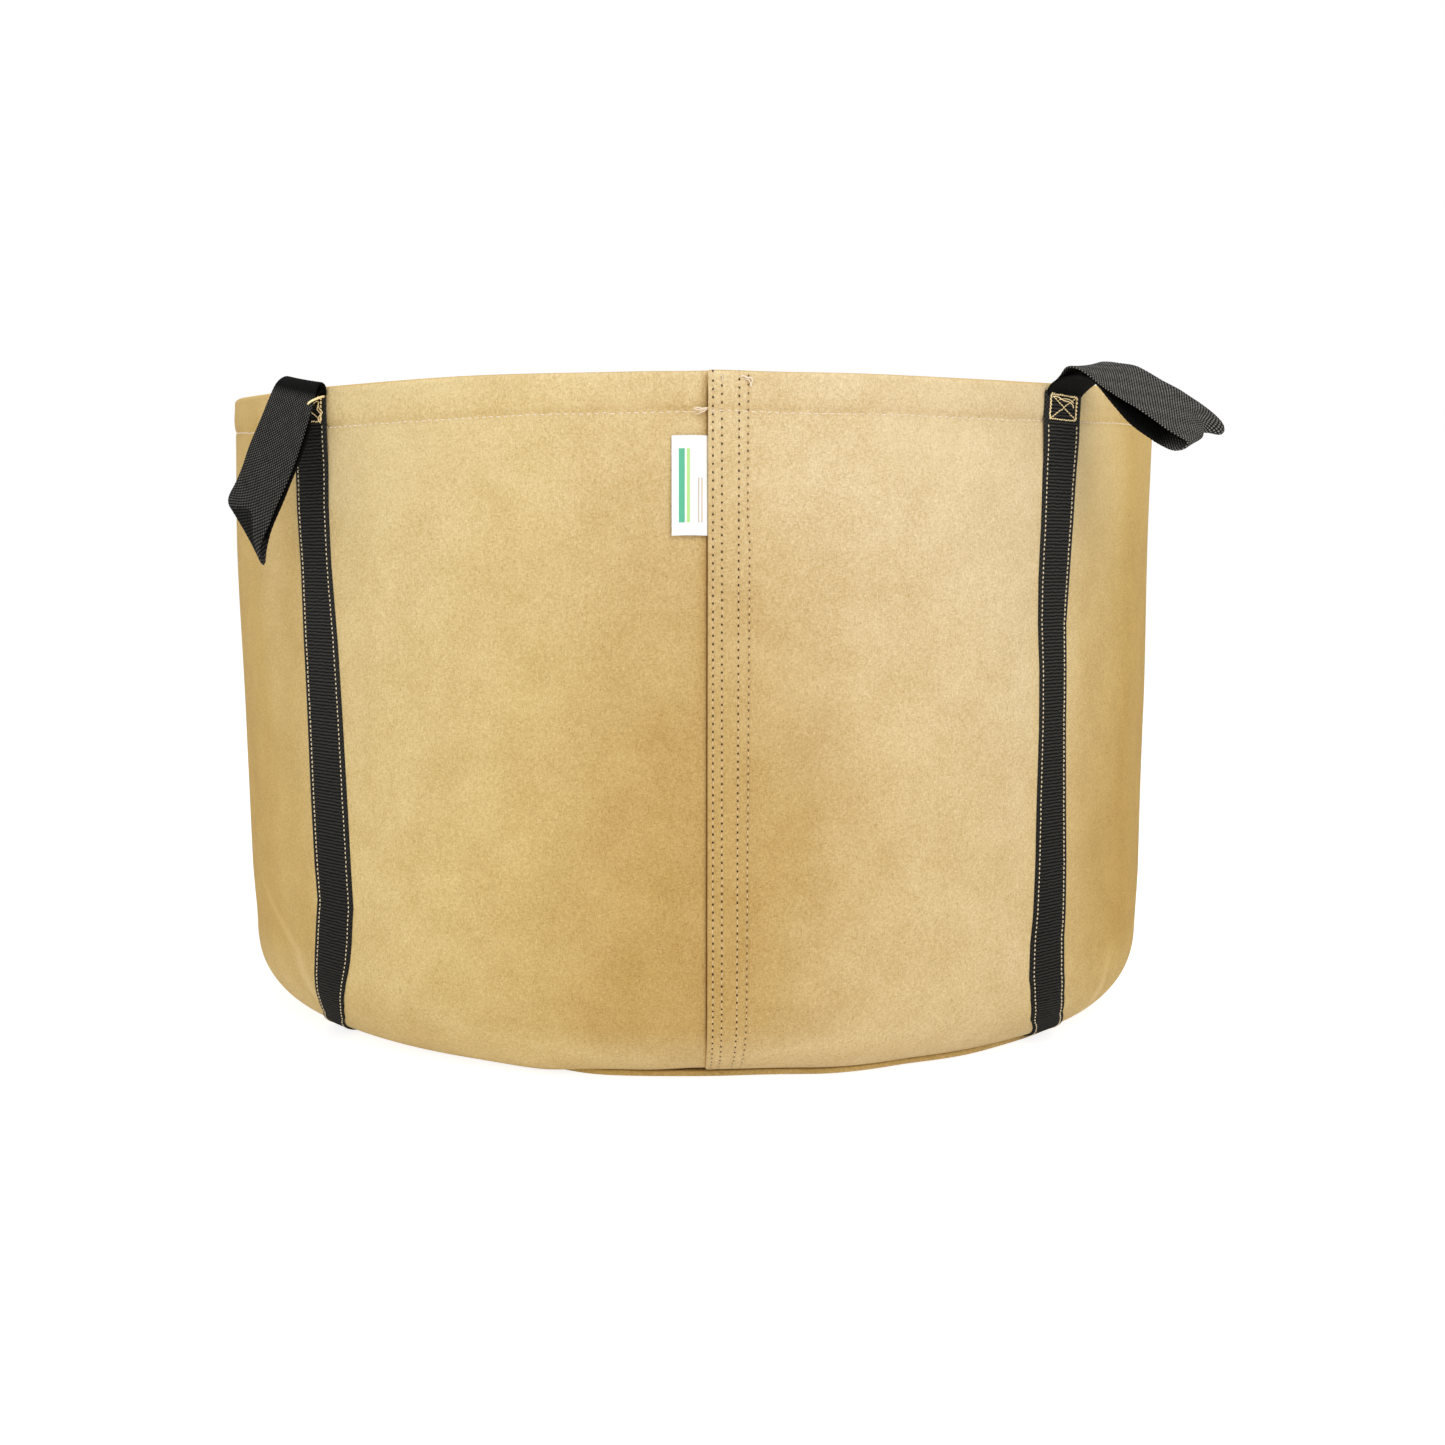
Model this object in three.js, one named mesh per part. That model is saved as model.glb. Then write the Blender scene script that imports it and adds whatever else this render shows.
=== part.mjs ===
// A round fabric grow bag, 65 US gallon class: a felt pot with a hemmed rim, a lapped side seam,
// a felt base, four ribbed webbing straps running from the rim over the bottom corner, four
// webbing carry loops sewn under the strap tops, a sewn-in tag and its sewing threads.
// Millimetres, +Z up. The origin is the centre of the underside of the base; the side seam
// and the tag face the front, -Y. Azimuth 0 is the front and grows towards +X, in degrees.
import * as THREE from 'three';

const { degToRad, radToDeg } = THREE.MathUtils;

// ---- driving dimensions ---------------------------------------------------------------------
const DIAMETER = 812.8;          // outside, at the rim (32 in)
const RIM_R = DIAMETER / 2;
const HEIGHT = 513;              // rim top above the ground
const FELT = 4;                  // felt thickness
const GAP = 0.3;                 // clearance between neighbouring pieces
const THREAD = 0.6;              // height of a thread row above its fabric
const THREAD_W = 0.8;            // width of a flat thread row

// The bottom corner is a quarter ellipse between the base lap and the wall.
const CORNER_R = 400;            // wall radius where the corner begins
const CORNER_Z = 64;             // height where the corner begins
const CORNER_IN = 339;           // radius where the corner runs into the flat base lap
const LAP_IN = 314;              // inner radius of the wall's turned-in lap on the base
const LAP_Z = 4.6;               // underside of that lap
const BASE_R = 343;              // base panel radius, a small lip under the wall
const BASE_T = 4.2;              // base panel thickness

const HEM = 27.5;                // hem depth at the rim
const HEM_Z = HEIGHT - HEM;      // lower edge of the hem
const SEAM_START = 2.6;          // azimuth of the side seam's visible outer edge
const SEAM_END = 7;              // azimuth of its hidden inner edge

const STRAP_W = 48;
const STRAP_T = 1.8;
const STRAP_TOP = 508.5;         // top edge of the ribbed strap
const STRAP_OFF = 0.4;           // strap underside off the wall

const LOOP_W = 48;               // carry loop webbing width
const LOOP_T = 1.7;              // carry loop webbing thickness, one layer
const LOOP_L = 125;              // free length of the folded carry loop
const LOOP_HALF = LOOP_T + 0.2;  // half thickness of the folded loop at its pivot
const PIVOT_R = RIM_R + 9;       // where the loop folds over the strap top: radius
const PIVOT_Z = 515.5;           // and height

const ANCHOR_OFF = 1.4;          // underside of the sewn loop ends off the wall
const ANCHOR_T = 2 * LOOP_T;     // two loop ends, one on the other
const ANCHOR_LOW = 476;          // lower edge of the loop ends
const ANCHOR_TOP = 506;          // where the loop ends leave the wall

// The strap runs raised over the loop ends, then steps down to the wall.
const STRAP_RAISED_OFF = ANCHOR_OFF + ANCHOR_T + GAP;
const STEP_TOP = ANCHOR_LOW - 1;
const STEP_LOW = ANCHOR_LOW - 14;

// Each strap's azimuth, and the slope of its carry loop: degrees, negative hangs outward and down.
const PLACES = {
  front_left: { azimuth: -44.25, loopSlope: -63 },
  front_right: { azimuth: 44.25, loopSlope: -19 },
  back_right: { azimuth: 135, loopSlope: -34 },
  back_left: { azimuth: -135, loopSlope: -50 },
};

// ---- materials --------------------------------------------------------------------------------
const fabric = ({ color, roughness }) =>
  new THREE.MeshStandardMaterial({ color, roughness, metalness: 0 });
const feltMaterial = () => fabric({ color: 0xd8bc84, roughness: 0.95 });
const ribbedWebbing = () => fabric({ color: 0x34332f, roughness: 0.7 });
const wovenWebbing = () => fabric({ color: 0x3b3a37, roughness: 0.75 });
const whiteTag = () => fabric({ color: 0xf2f2ec, roughness: 0.6 });
const creamThread = () => fabric({ color: 0xe2cf9f, roughness: 0.6 });
const goldThread = () => fabric({ color: 0xc9a765, roughness: 0.6 });

// ---- the bag's profile ------------------------------------------------------------------------
// Outside radius of the straight wall at a height.
const wallR = (z) => CORNER_R + (RIM_R - CORNER_R) * (z - CORNER_Z) / (HEIGHT - CORNER_Z);

// [r, z] on the bottom corner: angle 0 at the base lap, 90 at the wall; offset is outward.
function cornerPoint(angle, offset) {
  const turn = degToRad(angle);
  return [
    CORNER_IN + (CORNER_R - CORNER_IN + offset) * Math.sin(turn),
    CORNER_Z - (CORNER_Z - LAP_Z + offset) * Math.cos(turn),
  ];
}

// The position at an azimuth, a radius and a height.
function polar(azimuth, r, z) {
  const turn = degToRad(azimuth);
  return [r * Math.sin(turn), -r * Math.cos(turn), z];
}

// ---- lofted bodies ----------------------------------------------------------------------------
// Six times the signed volume the triangles enclose.
function signedVolume(positions, indices) {
  const corner = (i) => new THREE.Vector3().fromArray(positions, 3 * indices[i]);
  let volume = 0;
  for (let i = 0; i < indices.length; i += 3) {
    volume += corner(i).dot(corner(i + 1).cross(corner(i + 2)));
  }
  return volume;
}

// Triangles of a flat outline, all wound the same way as the outline.
function capTriangles(outline) {
  const points = outline.map(([x, y]) => new THREE.Vector2(x, y));
  const outlineCcw = THREE.ShapeUtils.area(points) > 0;
  return THREE.ShapeUtils.triangulateShape(points, []).map(([i, j, k]) => {
    const [a, b, c] = [points[i], points[j], points[k]];
    const area = (b.x - a.x) * (c.y - a.y) - (c.x - a.x) * (b.y - a.y);
    return (area > 0) === outlineCcw ? [i, j, k] : [i, k, j];
  });
}

// A closed body through a run of rings with equal point counts. capOutline holds one 2D point
// per ring point and is triangulated to close both ends.
function loft(rings, capOutline) {
  const count = capOutline.length;
  const positions = rings.flat(2);
  const indices = [];
  for (let i = 0; i < rings.length - 1; i++) {
    const near = i * count;
    const far = near + count;
    for (let j = 0; j < count; j++) {
      const k = (j + 1) % count;
      indices.push(near + j, near + k, far + k, near + j, far + k, far + j);
    }
  }
  const end = (rings.length - 1) * count;
  for (const [i, j, k] of capTriangles(capOutline)) {
    indices.push(i, k, j, end + i, end + j, end + k);
  }
  // Faces must point outward whichever way the rings run.
  if (signedVolume(positions, indices) < 0) {
    for (let i = 0; i < indices.length; i += 3) {
      [indices[i + 1], indices[i + 2]] = [indices[i + 2], indices[i + 1]];
    }
  }
  const geometry = new THREE.BufferGeometry();
  geometry.setAttribute('position', new THREE.Float32BufferAttribute(positions, 3));
  geometry.setIndex(indices);
  geometry.computeVertexNormals();
  return geometry;
}

// A strip lying on the wall, centred on an azimuth, with `steps` divisions across its width.
// Each path station is [inner r, inner z, outer r, outer z].
function strip({ azimuth, width, path, steps }) {
  const forward = Array.from({ length: steps + 1 }, (_, j) => j);
  const backward = [...forward].reverse();
  const rings = path.map(([innerR, innerZ, outerR, outerZ]) => {
    const azimuthAt = (j) => azimuth + (j / steps - 0.5) * radToDeg(width / outerR);
    return [
      ...forward.map((j) => polar(azimuthAt(j), outerR, outerZ)),
      ...backward.map((j) => polar(azimuthAt(j), innerR, innerZ)),
    ];
  });
  // The cap outline is bowed so that no three neighbouring points are in line.
  const bow = (j) => 0.1 * Math.sin(Math.PI * j / steps);
  const capOutline = [
    ...forward.map((j) => [j, 1 + bow(j)]),
    ...backward.map((j) => [j, bow(j)]),
  ];
  return loft(rings, capOutline);
}

// Strip path stations on the straight wall and on the bottom corner.
const onWall = (z, offset, thickness) =>
  [wallR(z) + offset, z, wallR(z) + offset + thickness, z];
const onCorner = (angle, offset, thickness) =>
  [...cornerPoint(angle, offset), ...cornerPoint(angle, offset + thickness)];

// A station centred on r, z, whose inner-to-outer direction is (outward, down).
function acrossStation({ r, z, outward, down, halfThickness }) {
  const scale = halfThickness / Math.hypot(outward, down);
  const dr = outward * scale;
  const dz = down * scale;
  return [r - dr, z + dz, r + dr, z - dz];
}

// ---- assembly -----------------------------------------------------------------------------------
const bag = new THREE.Group();
bag.name = 'fabric_grow_bag';

function add(name, geometry, material, parent = bag) {
  const mesh = new THREE.Mesh(geometry, material);
  mesh.name = name;
  parent.add(mesh);
}

// ---- wall panel: one felt sheet, hemmed at the rim, turned in at the base, lapped at the seam ---
// The sheet's section. Each point has r, z, the sheet's outward normal, and whether the hem
// doubles the sheet there.
function wallOutline() {
  const lapPoint = (r, z) => ({ r, z, normalR: 0, normalZ: -1, inHem: false });
  const wallPoint = (r, z, inHem) => ({ r, z, normalR: 1, normalZ: 0, inHem });
  const bendPoint = (angle, offset) => {
    const [r, z] = cornerPoint(angle, offset);
    const turn = degToRad(angle);
    return { r, z, normalR: Math.sin(turn), normalZ: -Math.cos(turn), inHem: false };
  };
  const rimPoint = (angle) => wallPoint(
    RIM_R - FELT + FELT * Math.cos(degToRad(angle)),
    HEIGHT - FELT + FELT * Math.sin(degToRad(angle)),
    true,
  );
  const bendAngles = [15, 30, 45, 60, 75, 90];
  const belowHem = HEM_Z - 8;
  const hemStart = HEM_Z - 0.5;
  return [
    lapPoint(LAP_IN, LAP_Z),
    lapPoint(CORNER_IN, LAP_Z),
    ...bendAngles.map((angle) => bendPoint(angle, 0)),
    wallPoint(wallR(belowHem), belowHem, false),
    wallPoint(wallR(hemStart), hemStart, true),
    ...[0, 45, 90, 135, 180].map(rimPoint),
    wallPoint(wallR(HEM_Z) - 2 * FELT, HEM_Z, true),
    wallPoint(wallR(HEM_Z) - FELT, HEM_Z, true),
    wallPoint(wallR(belowHem) - FELT, belowHem, false),
    ...[...bendAngles].reverse().map((angle) => bendPoint(angle, -FELT)),
    lapPoint(CORNER_IN, LAP_Z + FELT),
    lapPoint(LAP_IN, LAP_Z + FELT),
  ];
}

// Sections round the bag as [azimuth, tuck]: tuck 0 is the outer layer, 1 is fully under it.
function wallStations() {
  const freeSegments = 70;
  // Where the sheet moves inward to pass under its own edge: [degrees past SEAM_START, tuck].
  const tuckIn = [[352, 0], [354, 0.25], [356.5, 0.66], [359, 1], [359.7, 1]];
  const freeSpan = SEAM_START + tuckIn[0][0] - SEAM_END;
  const lapAzimuths = [0, 1, 2, 3].map((i) => SEAM_START + i / 3 * (SEAM_END - SEAM_START));

  const stations = lapAzimuths.map((azimuth) => [azimuth, 0]);
  for (let i = 1; i < freeSegments; i++) {
    stations.push([SEAM_END + freeSpan * i / freeSegments, 0]);
  }
  stations.push(...tuckIn.map(([degrees, tuck]) => [SEAM_START + degrees, tuck]));
  stations.push(...lapAzimuths.map((azimuth) => [azimuth + 360, 1]));
  return stations;
}

function wallPanel() {
  const tuckDepth = FELT + GAP;
  const hemTuckDepth = 2 * FELT + GAP + 0.1;
  const outline = wallOutline();
  const rings = wallStations().map(([azimuth, tuck]) => outline.map((point) => {
    const depth = tuck * (point.inHem ? hemTuckDepth : tuckDepth);
    return polar(azimuth, point.r - depth * point.normalR, point.z - depth * point.normalZ);
  }));
  return loft(rings, outline.map(({ r, z }) => [r, z]));
}

// ---- base panel and the threads of the wall -----------------------------------------------------
function basePanel() {
  const disc = new THREE.CylinderGeometry(BASE_R, BASE_R, BASE_T, 72, 1, false);
  disc.rotateX(Math.PI / 2);
  disc.translate(0, 0, BASE_T / 2);
  return disc;
}

// The seam that joins the wall's lap to the base, seen inside the bag.
function baseSeamThread() {
  const ring = new THREE.TorusGeometry(CORNER_IN - 12, THREAD / 2, 4, 72);
  ring.translate(0, 0, LAP_Z + 2 * FELT + 2 * GAP + THREAD / 2 + 0.1);
  return ring;
}

// One row round the rim, from one side of the lap to the other.
function hemThread() {
  const segments = 120;
  const start = SEAM_END + 0.2;
  const end = SEAM_START + 359.6;
  const half = THREAD / 2;
  const r = wallR(HEM_Z) + 0.4 + half;
  const section = [[-half, -half], [half, -half], [half, half], [-half, half]];
  const rings = [];
  for (let i = 0; i <= segments; i++) {
    const azimuth = start + (end - start) * i / segments;
    rings.push(section.map(([dr, dz]) => polar(azimuth, r + dr, HEM_Z + dz)));
  }
  return loft(rings, section);
}

// A stitch row down the side seam, from the rim round the bottom corner.
function sideSeamThread(azimuth) {
  const path = [
    onWall(HEIGHT - FELT - 1, GAP, THREAD),
    ...[90, 75, 60, 45, 30, 17].map((angle) => onCorner(angle, GAP, THREAD)),
  ];
  return strip({ azimuth, width: THREAD_W, path, steps: 1 });
}

const SEAM_ROWS = [3.03, 3.86, 5.55, 6.61];    // azimuths of the side seam's stitch rows

add('wall_panel', wallPanel(), feltMaterial());
add('base_panel', basePanel(), feltMaterial());
add('base_seam_thread', baseSeamThread(), creamThread());
add('hem_thread', hemThread(), creamThread());
SEAM_ROWS.forEach((azimuth, i) => {
  add(`side_seam_thread_${i + 1}`, sideSeamThread(azimuth), creamThread());
});

// ---- straps and carry loops, each built at azimuth 0 ----------------------------------------------
// Over the loop ends, down the wall, round the corner, over the edge of the base.
function ribbedStrap() {
  const path = [
    onWall(STRAP_TOP, STRAP_RAISED_OFF, STRAP_T),
    onWall(STEP_TOP, STRAP_RAISED_OFF, STRAP_T),
    onWall(STEP_LOW, STRAP_OFF, STRAP_T),
    ...[90, 75, 60, 45, 30, 18, 10].map((angle) => onCorner(angle, STRAP_OFF, STRAP_T)),
    [345.9, 3.75, 346.8, 2.2],
    [344, 1.5, 345.5, 0.6],
  ];
  return strip({ azimuth: 0, width: STRAP_W, path, steps: 4 });
}

// The loop's two ends, sewn under the strap, turning out over the strap's top edge and
// narrowing to a thin edge just short of the loop's fold.
function loopAnchor() {
  const towardsPivot = new THREE.Vector2(0.86, 0.42).normalize();
  const tip = new THREE.Vector2(PIVOT_R, PIVOT_Z)
    .addScaledVector(towardsPivot, -(LOOP_HALF + GAP + 1));
  const bends = [
    { r: RIM_R + 3.05, z: 511.8, outward: 1, down: 0.55, halfThickness: LOOP_T },
    { r: RIM_R + 5, z: 513.6, outward: 0.55, down: 1, halfThickness: LOOP_T },
    {
      r: tip.x,
      z: tip.y,
      outward: towardsPivot.y,
      down: towardsPivot.x,
      halfThickness: 0.7,
    },
  ];
  const path = [
    onWall(ANCHOR_LOW, ANCHOR_OFF, ANCHOR_T),
    onWall(ANCHOR_TOP, ANCHOR_OFF, ANCHOR_T),
    ...bends.map(acrossStation),
  ];
  return strip({ azimuth: 0, width: LOOP_W, path, steps: 4 });
}

// The free loop: a flattened ring of webbing with a lens-shaped opening. Its side view is drawn
// with x along the loop from the pivot and y across it, then turned to its slope.
function carryLoop(slope) {
  const arch = (x) => Math.sin(Math.PI * x / LOOP_L);
  const rise = (x) => 1.6 * arch(x);             // bulge of the upper strand
  const sag = (x) => 9.5 * arch(x) ** 1.5;       // bulge of the lower strand
  const innerHalf = 0.2;                         // half of the opening, before the bulges
  const lastX = LOOP_L - 8;
  const alongX = [14, 30, 48, 66, 84, 102, lastX];
  const backX = [...alongX].reverse();
  const foldPoint = (angle) =>
    [LOOP_HALF * Math.cos(degToRad(angle)), LOOP_HALF * Math.sin(degToRad(angle))];

  const outer = [
    ...[90, 120, 150, 180, 210, 240, 270].map(foldPoint),
    ...alongX.map((x) => [x, -LOOP_HALF - sag(x)]),
    [LOOP_L - 2.5, -LOOP_HALF - 0.3],
    [LOOP_L, 0.2],
    [LOOP_L - 2.5, LOOP_HALF + 0.4],
    ...backX.map((x) => [x, LOOP_HALF + rise(x)]),
  ];
  const opening = [
    ...alongX.map((x) => [x, -sag(x) - (x === lastX ? 0 : innerHalf)]),
    [LOOP_L - 2.6, 0.25],
    ...backX.map((x) => [x, innerHalf + rise(x)]),
  ];

  const origin = new THREE.Vector2(0, 0);
  const pivot = new THREE.Vector2(PIVOT_R, PIVOT_Z);
  const place = ([x, y]) =>
    new THREE.Vector2(x, y).rotateAround(origin, degToRad(slope)).add(pivot);
  const shape = new THREE.Shape(outer.map(place));
  shape.holes.push(new THREE.Path(opening.map(place)));
  const loop = new THREE.ExtrudeGeometry(shape, { depth: LOOP_W, bevelEnabled: false, steps: 1 });
  // Drawn radius to -Y, drawn height to +Z, extrusion to -X.
  loop.applyMatrix4(new THREE.Matrix4().makeBasis(
    new THREE.Vector3(0, -1, 0),
    new THREE.Vector3(0, 0, 1),
    new THREE.Vector3(-1, 0, 0),
  ));
  loop.translate(LOOP_W / 2, 0, 0);
  return loop;
}

// A stitch row down the strap, at a sideways distance from its centre line.
function strapThread(sideways) {
  const spacingR = 408;          // radius at which the sideways distance becomes an azimuth
  const raised = STRAP_RAISED_OFF + STRAP_T + GAP;
  const offset = STRAP_OFF + STRAP_T + GAP;
  const path = [
    onWall(483, raised, THREAD),
    onWall(STEP_TOP, raised, THREAD),
    onWall(STEP_LOW, offset, THREAD),
    ...[90, 75, 60, 45, 30, 18].map((angle) => onCorner(angle, offset, THREAD)),
  ];
  return strip({ azimuth: radToDeg(sideways / spacingR), width: THREAD_W, path, steps: 1 });
}

// Box-and-cross tack through strap and loop ends: a rectangle with four triangular openings.
function boxTack() {
  const centreZ = 497;
  const halfW = 16.5;
  const halfH = 10;
  const line = 0.9;              // stitch line width
  const innerW = halfW - line;
  const innerH = halfH - line;
  // Half widths of a diagonal line, measured along x and along y.
  const diagonal = Math.hypot(halfW, halfH);
  const dx = line * diagonal / halfH / 2;
  const dy = line * diagonal / halfW / 2;
  const toVectors = (points) => points.map(([x, y]) => new THREE.Vector2(x, y));
  const openings = [
    [[-innerW + dx, innerH], [innerW - dx, innerH], [0, dy]],
    [[-innerW + dx, -innerH], [0, -dy], [innerW - dx, -innerH]],
    [[-innerW, innerH - dy], [-dx, 0], [-innerW, -innerH + dy]],
    [[innerW, innerH - dy], [innerW, -innerH + dy], [dx, 0]],
  ];
  const shape = new THREE.Shape(
    toVectors([[-halfW, -halfH], [halfW, -halfH], [halfW, halfH], [-halfW, halfH]]),
  );
  shape.holes.push(...openings.map((points) => new THREE.Path(toVectors(points))));
  const tack = new THREE.ExtrudeGeometry(shape, { depth: THREAD, bevelEnabled: false, steps: 1 });
  tack.rotateX(Math.PI / 2);
  tack.translate(0, -(wallR(centreZ) + STRAP_RAISED_OFF + STRAP_T + GAP + 0.05), centreZ);
  return tack;
}

const THREAD_ROW_X = 17.5;       // strap stitch rows either side of the centre line

for (const [place, { azimuth, loopSlope }] of Object.entries(PLACES)) {
  const side = new THREE.Group();
  side.rotation.z = degToRad(azimuth);
  bag.add(side);
  add(`strap_${place}`, ribbedStrap(), ribbedWebbing(), side);
  add(`handle_anchor_${place}`, loopAnchor(), wovenWebbing(), side);
  add(`handle_loop_${place}`, carryLoop(loopSlope), wovenWebbing(), side);
  add(`strap_thread_left_${place}`, strapThread(-THREAD_ROW_X), creamThread(), side);
  add(`strap_thread_right_${place}`, strapThread(THREAD_ROW_X), creamThread(), side);
  add(`box_tack_${place}`, boxTack(), goldThread(), side);
}

// ---- sewn-in tag, upright beside the lap's outer edge -----------------------------------------------
function labelTag() {
  const width = 25;
  const height = 69;
  const thickness = 0.5;
  const lowZ = 400.3;
  const topZ = lowZ + height;
  const r = wallR(topZ) + 0.35;
  const azimuth = SEAM_START - 0.05 - radToDeg(width / RIM_R) / 2;
  const path = [topZ, lowZ].map((z) => [r, z, r + thickness, z]);
  return strip({ azimuth, width, path, steps: 3 });
}

add('label_tag', labelTag(), whiteTag());

export default bag;
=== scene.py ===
"""A round felt bag with four webbing straps up its wall and a carry loop at the top of each.

The base lies on z = 0 with its centre at the origin. The front faces -Y and +X is the viewer's
right. Places round the bag are angles in degrees from the front, positive towards +X. Lengths
are in mm until a mesh is built; UV maps, materials, lights and camera are in metres.
"""
import math

import bmesh
import bpy
import numpy as np
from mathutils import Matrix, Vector


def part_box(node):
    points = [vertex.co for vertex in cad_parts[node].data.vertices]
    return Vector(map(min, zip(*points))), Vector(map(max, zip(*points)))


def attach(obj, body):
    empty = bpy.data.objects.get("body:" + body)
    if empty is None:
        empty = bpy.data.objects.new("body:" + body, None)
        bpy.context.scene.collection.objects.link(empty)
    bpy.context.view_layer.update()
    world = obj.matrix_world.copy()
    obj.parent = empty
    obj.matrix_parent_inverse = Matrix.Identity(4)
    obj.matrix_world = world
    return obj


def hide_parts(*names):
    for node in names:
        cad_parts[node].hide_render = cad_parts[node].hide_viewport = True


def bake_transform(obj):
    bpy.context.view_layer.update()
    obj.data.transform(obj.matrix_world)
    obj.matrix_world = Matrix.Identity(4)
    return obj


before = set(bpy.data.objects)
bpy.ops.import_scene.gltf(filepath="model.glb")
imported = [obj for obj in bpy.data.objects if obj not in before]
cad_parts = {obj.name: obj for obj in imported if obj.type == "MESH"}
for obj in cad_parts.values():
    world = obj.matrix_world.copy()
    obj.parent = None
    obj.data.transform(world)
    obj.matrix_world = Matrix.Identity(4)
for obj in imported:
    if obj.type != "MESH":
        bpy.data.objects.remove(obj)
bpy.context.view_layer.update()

rng = np.random.default_rng(65)
DEG = math.pi / 180

# ---------------------------------------------------------------- main sizes
_wall_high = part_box("wall_panel")[1]
RIM_Z = _wall_high.z * 1000
RIM_R = _wall_high.x * 1000
BASE_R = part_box("base_panel")[1].x * 1000
CORNER_R, CORNER_Z = RIM_R - 6.4, 64.0    # where the wall turns into its rounded foot
FOOT_R = 339.0                            # where the foot meets the flat lap
LAP_R, LAP_Z = 314.0, 4.6                 # raw edge and underside of the lap on the base
FELT = 4.0                                # felt thickness
HEM_BEND = 2.15                           # bend radius of the sheet's middle at the rim
HEM_Z = RIM_Z - 27.5                      # the hem's stitch row
UNROLL_R = 404.0                          # radius that turns angles into lengths of felt
STRAP_R = 406.0                           # the same for the straps
WEB_W = 48.0                              # webbing width
STRAP_TOP = 508.5
ANCHOR_LOW = 476.0                        # lower end of the loops' sewn ends

# Side seam: the sheet's outer layer starts at SEAM_START and its other end runs on beneath it
# to SEAM_END. Row angles at the rim and at the corner.
SEAM_START, SEAM_END = 2.60, 7.00
LAP_EDGE = 360 + SEAM_START               # the outer edge again, one turn on
ROWS_TOP = [3.07, 3.94, 5.63, 6.63]
ROWS_LOW = [3.20, 4.12, 5.66, 6.54]
ROW_DEPTH = [0.45, 0.45, 0.45, 1.2]       # how far each row pulls the felt in
ROW_WIDTH = [0.9, 0.9, 0.9, 1.3]
SEAM_PITCH = 5.62
FIRST_HOLE = [1.0, 3.3, 2.4, 4.6]         # length along the sheet
ARC_SHIFT = 52.44                         # sheet length at height z is z + ARC_SHIFT
# the last row steps sideways, in degrees, over a short height
JOG, JOG_Z, JOG_H, LAST_ROW_SHIFT = 0.22, 398.0, 16.0, 0.1

STRAPS = {"front_left": -44.25, "front_right": 44.25, "back_right": 135.0, "back_left": -135.0}


# ---------------------------------------------------------------- small maths
def ease(value, start, end):
    """Smooth step from 0 at start to 1 at end."""
    part = np.clip((np.asarray(value, float) - start) / (end - start), 0, 1)
    return part * part * (3 - 2 * part)


def bell(offset, width):
    return np.exp(-(offset / width) ** 2)


def gauss(offset, sigma):
    return np.exp(-0.5 * (offset / sigma) ** 2)


def angle_gap(angle, other):
    """Signed difference angle - other, -180..180."""
    return (np.asarray(angle, float) - other + 180.0) % 360.0 - 180.0


def spot(angle, z, angle0, z0, half_angle, half_height, size, lean):
    """A soft oval spot on the wall; lean is in degrees per 100 mm."""
    across = angle_gap(angle, angle0 + lean * (z - z0) / 100.0) / half_angle
    along = (z - z0) / half_height
    return size * np.exp(-0.5 * (across * across + along * along))


def polar(angle, radius, z):
    turn = np.asarray(angle, float) * DEG
    return np.stack([radius * np.sin(turn), -radius * np.cos(turn),
                     np.broadcast_to(z, np.broadcast(turn, radius).shape)], -1)


def lengths(points):
    """Running length along a polyline."""
    steps = np.linalg.norm(np.diff(points, axis=0), axis=1)
    return np.concatenate([[0], np.cumsum(steps)])


def spline(points, marks, where):
    """Cubic Hermite curve through points at marks, sampled at where."""
    slope = np.zeros_like(points)
    slope[1:-1] = (points[2:] - points[:-2]) / (marks[2:] - marks[:-2])[:, None]
    slope[0] = (points[1] - points[0]) / (marks[1] - marks[0])
    slope[-1] = (points[-1] - points[-2]) / (marks[-1] - marks[-2])
    i = np.clip(np.searchsorted(marks, where, side="right") - 1, 0, len(marks) - 2)
    span = marks[i + 1] - marks[i]
    x = ((where - marks[i]) / span)[:, None]
    span = span[:, None]
    return ((2 * x**3 - 3 * x**2 + 1) * points[i] + (x**3 - 2 * x**2 + x) * span * slope[i]
            + (-2 * x**3 + 3 * x**2) * points[i + 1] + (x**3 - x**2) * span * slope[i + 1])


def round_bag(angles, values, soft=3.0):
    """A function of angle from values at a few angles, softened over some degrees."""
    grid = np.arange(-180, 181, 1.0)
    level = np.interp(grid, angles, values)
    kernel = np.exp(-0.5 * (np.arange(-12, 13) / soft) ** 2)
    kernel /= kernel.sum()
    level = np.convolve(np.concatenate([level[-13:-1], level, level[1:13]]), kernel, "valid")
    return lambda angle: np.interp(angle_gap(angle, 0.0), grid, level)


# ---------------------------------------------------------------- soft shape of the felt
# each: angles, values in mm (foot_flat and tuck are factors), softening
hem_drop = round_bag([-180, -75, -46, -32, -20, -8, 180], [0, -1.0, -2.2, -2.6, -1.5, -0.2, 0], 2.0)
rim_lift = round_bag(
    [-180, -120, -90, -74, -66, -60, -54, -48, -40, 30, 38, 42, 48, 55, 62, 75, 90, 120, 180],
    [2, 5, 7.3, 7.4, 5.5, 3.4, 1.6, 0.4, 0, 0, 0.9, 2.0, 4.0, 5.4, 6.2, 6.5, 6.5, 4, 2], 2.5)
foot_flat = round_bag([-180, -70, -50, -36, 36, 47, 58, 75, 180],
                      [0.85, 0.80, 0.93, 1.0, 1.0, 0.86, 0.80, 0.80, 0.85], 2.0)
tuck = round_bag([-180, -76, -64, -17, -11, 180], [0, 0, 1, 1, 0, 0], 1.5)
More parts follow.
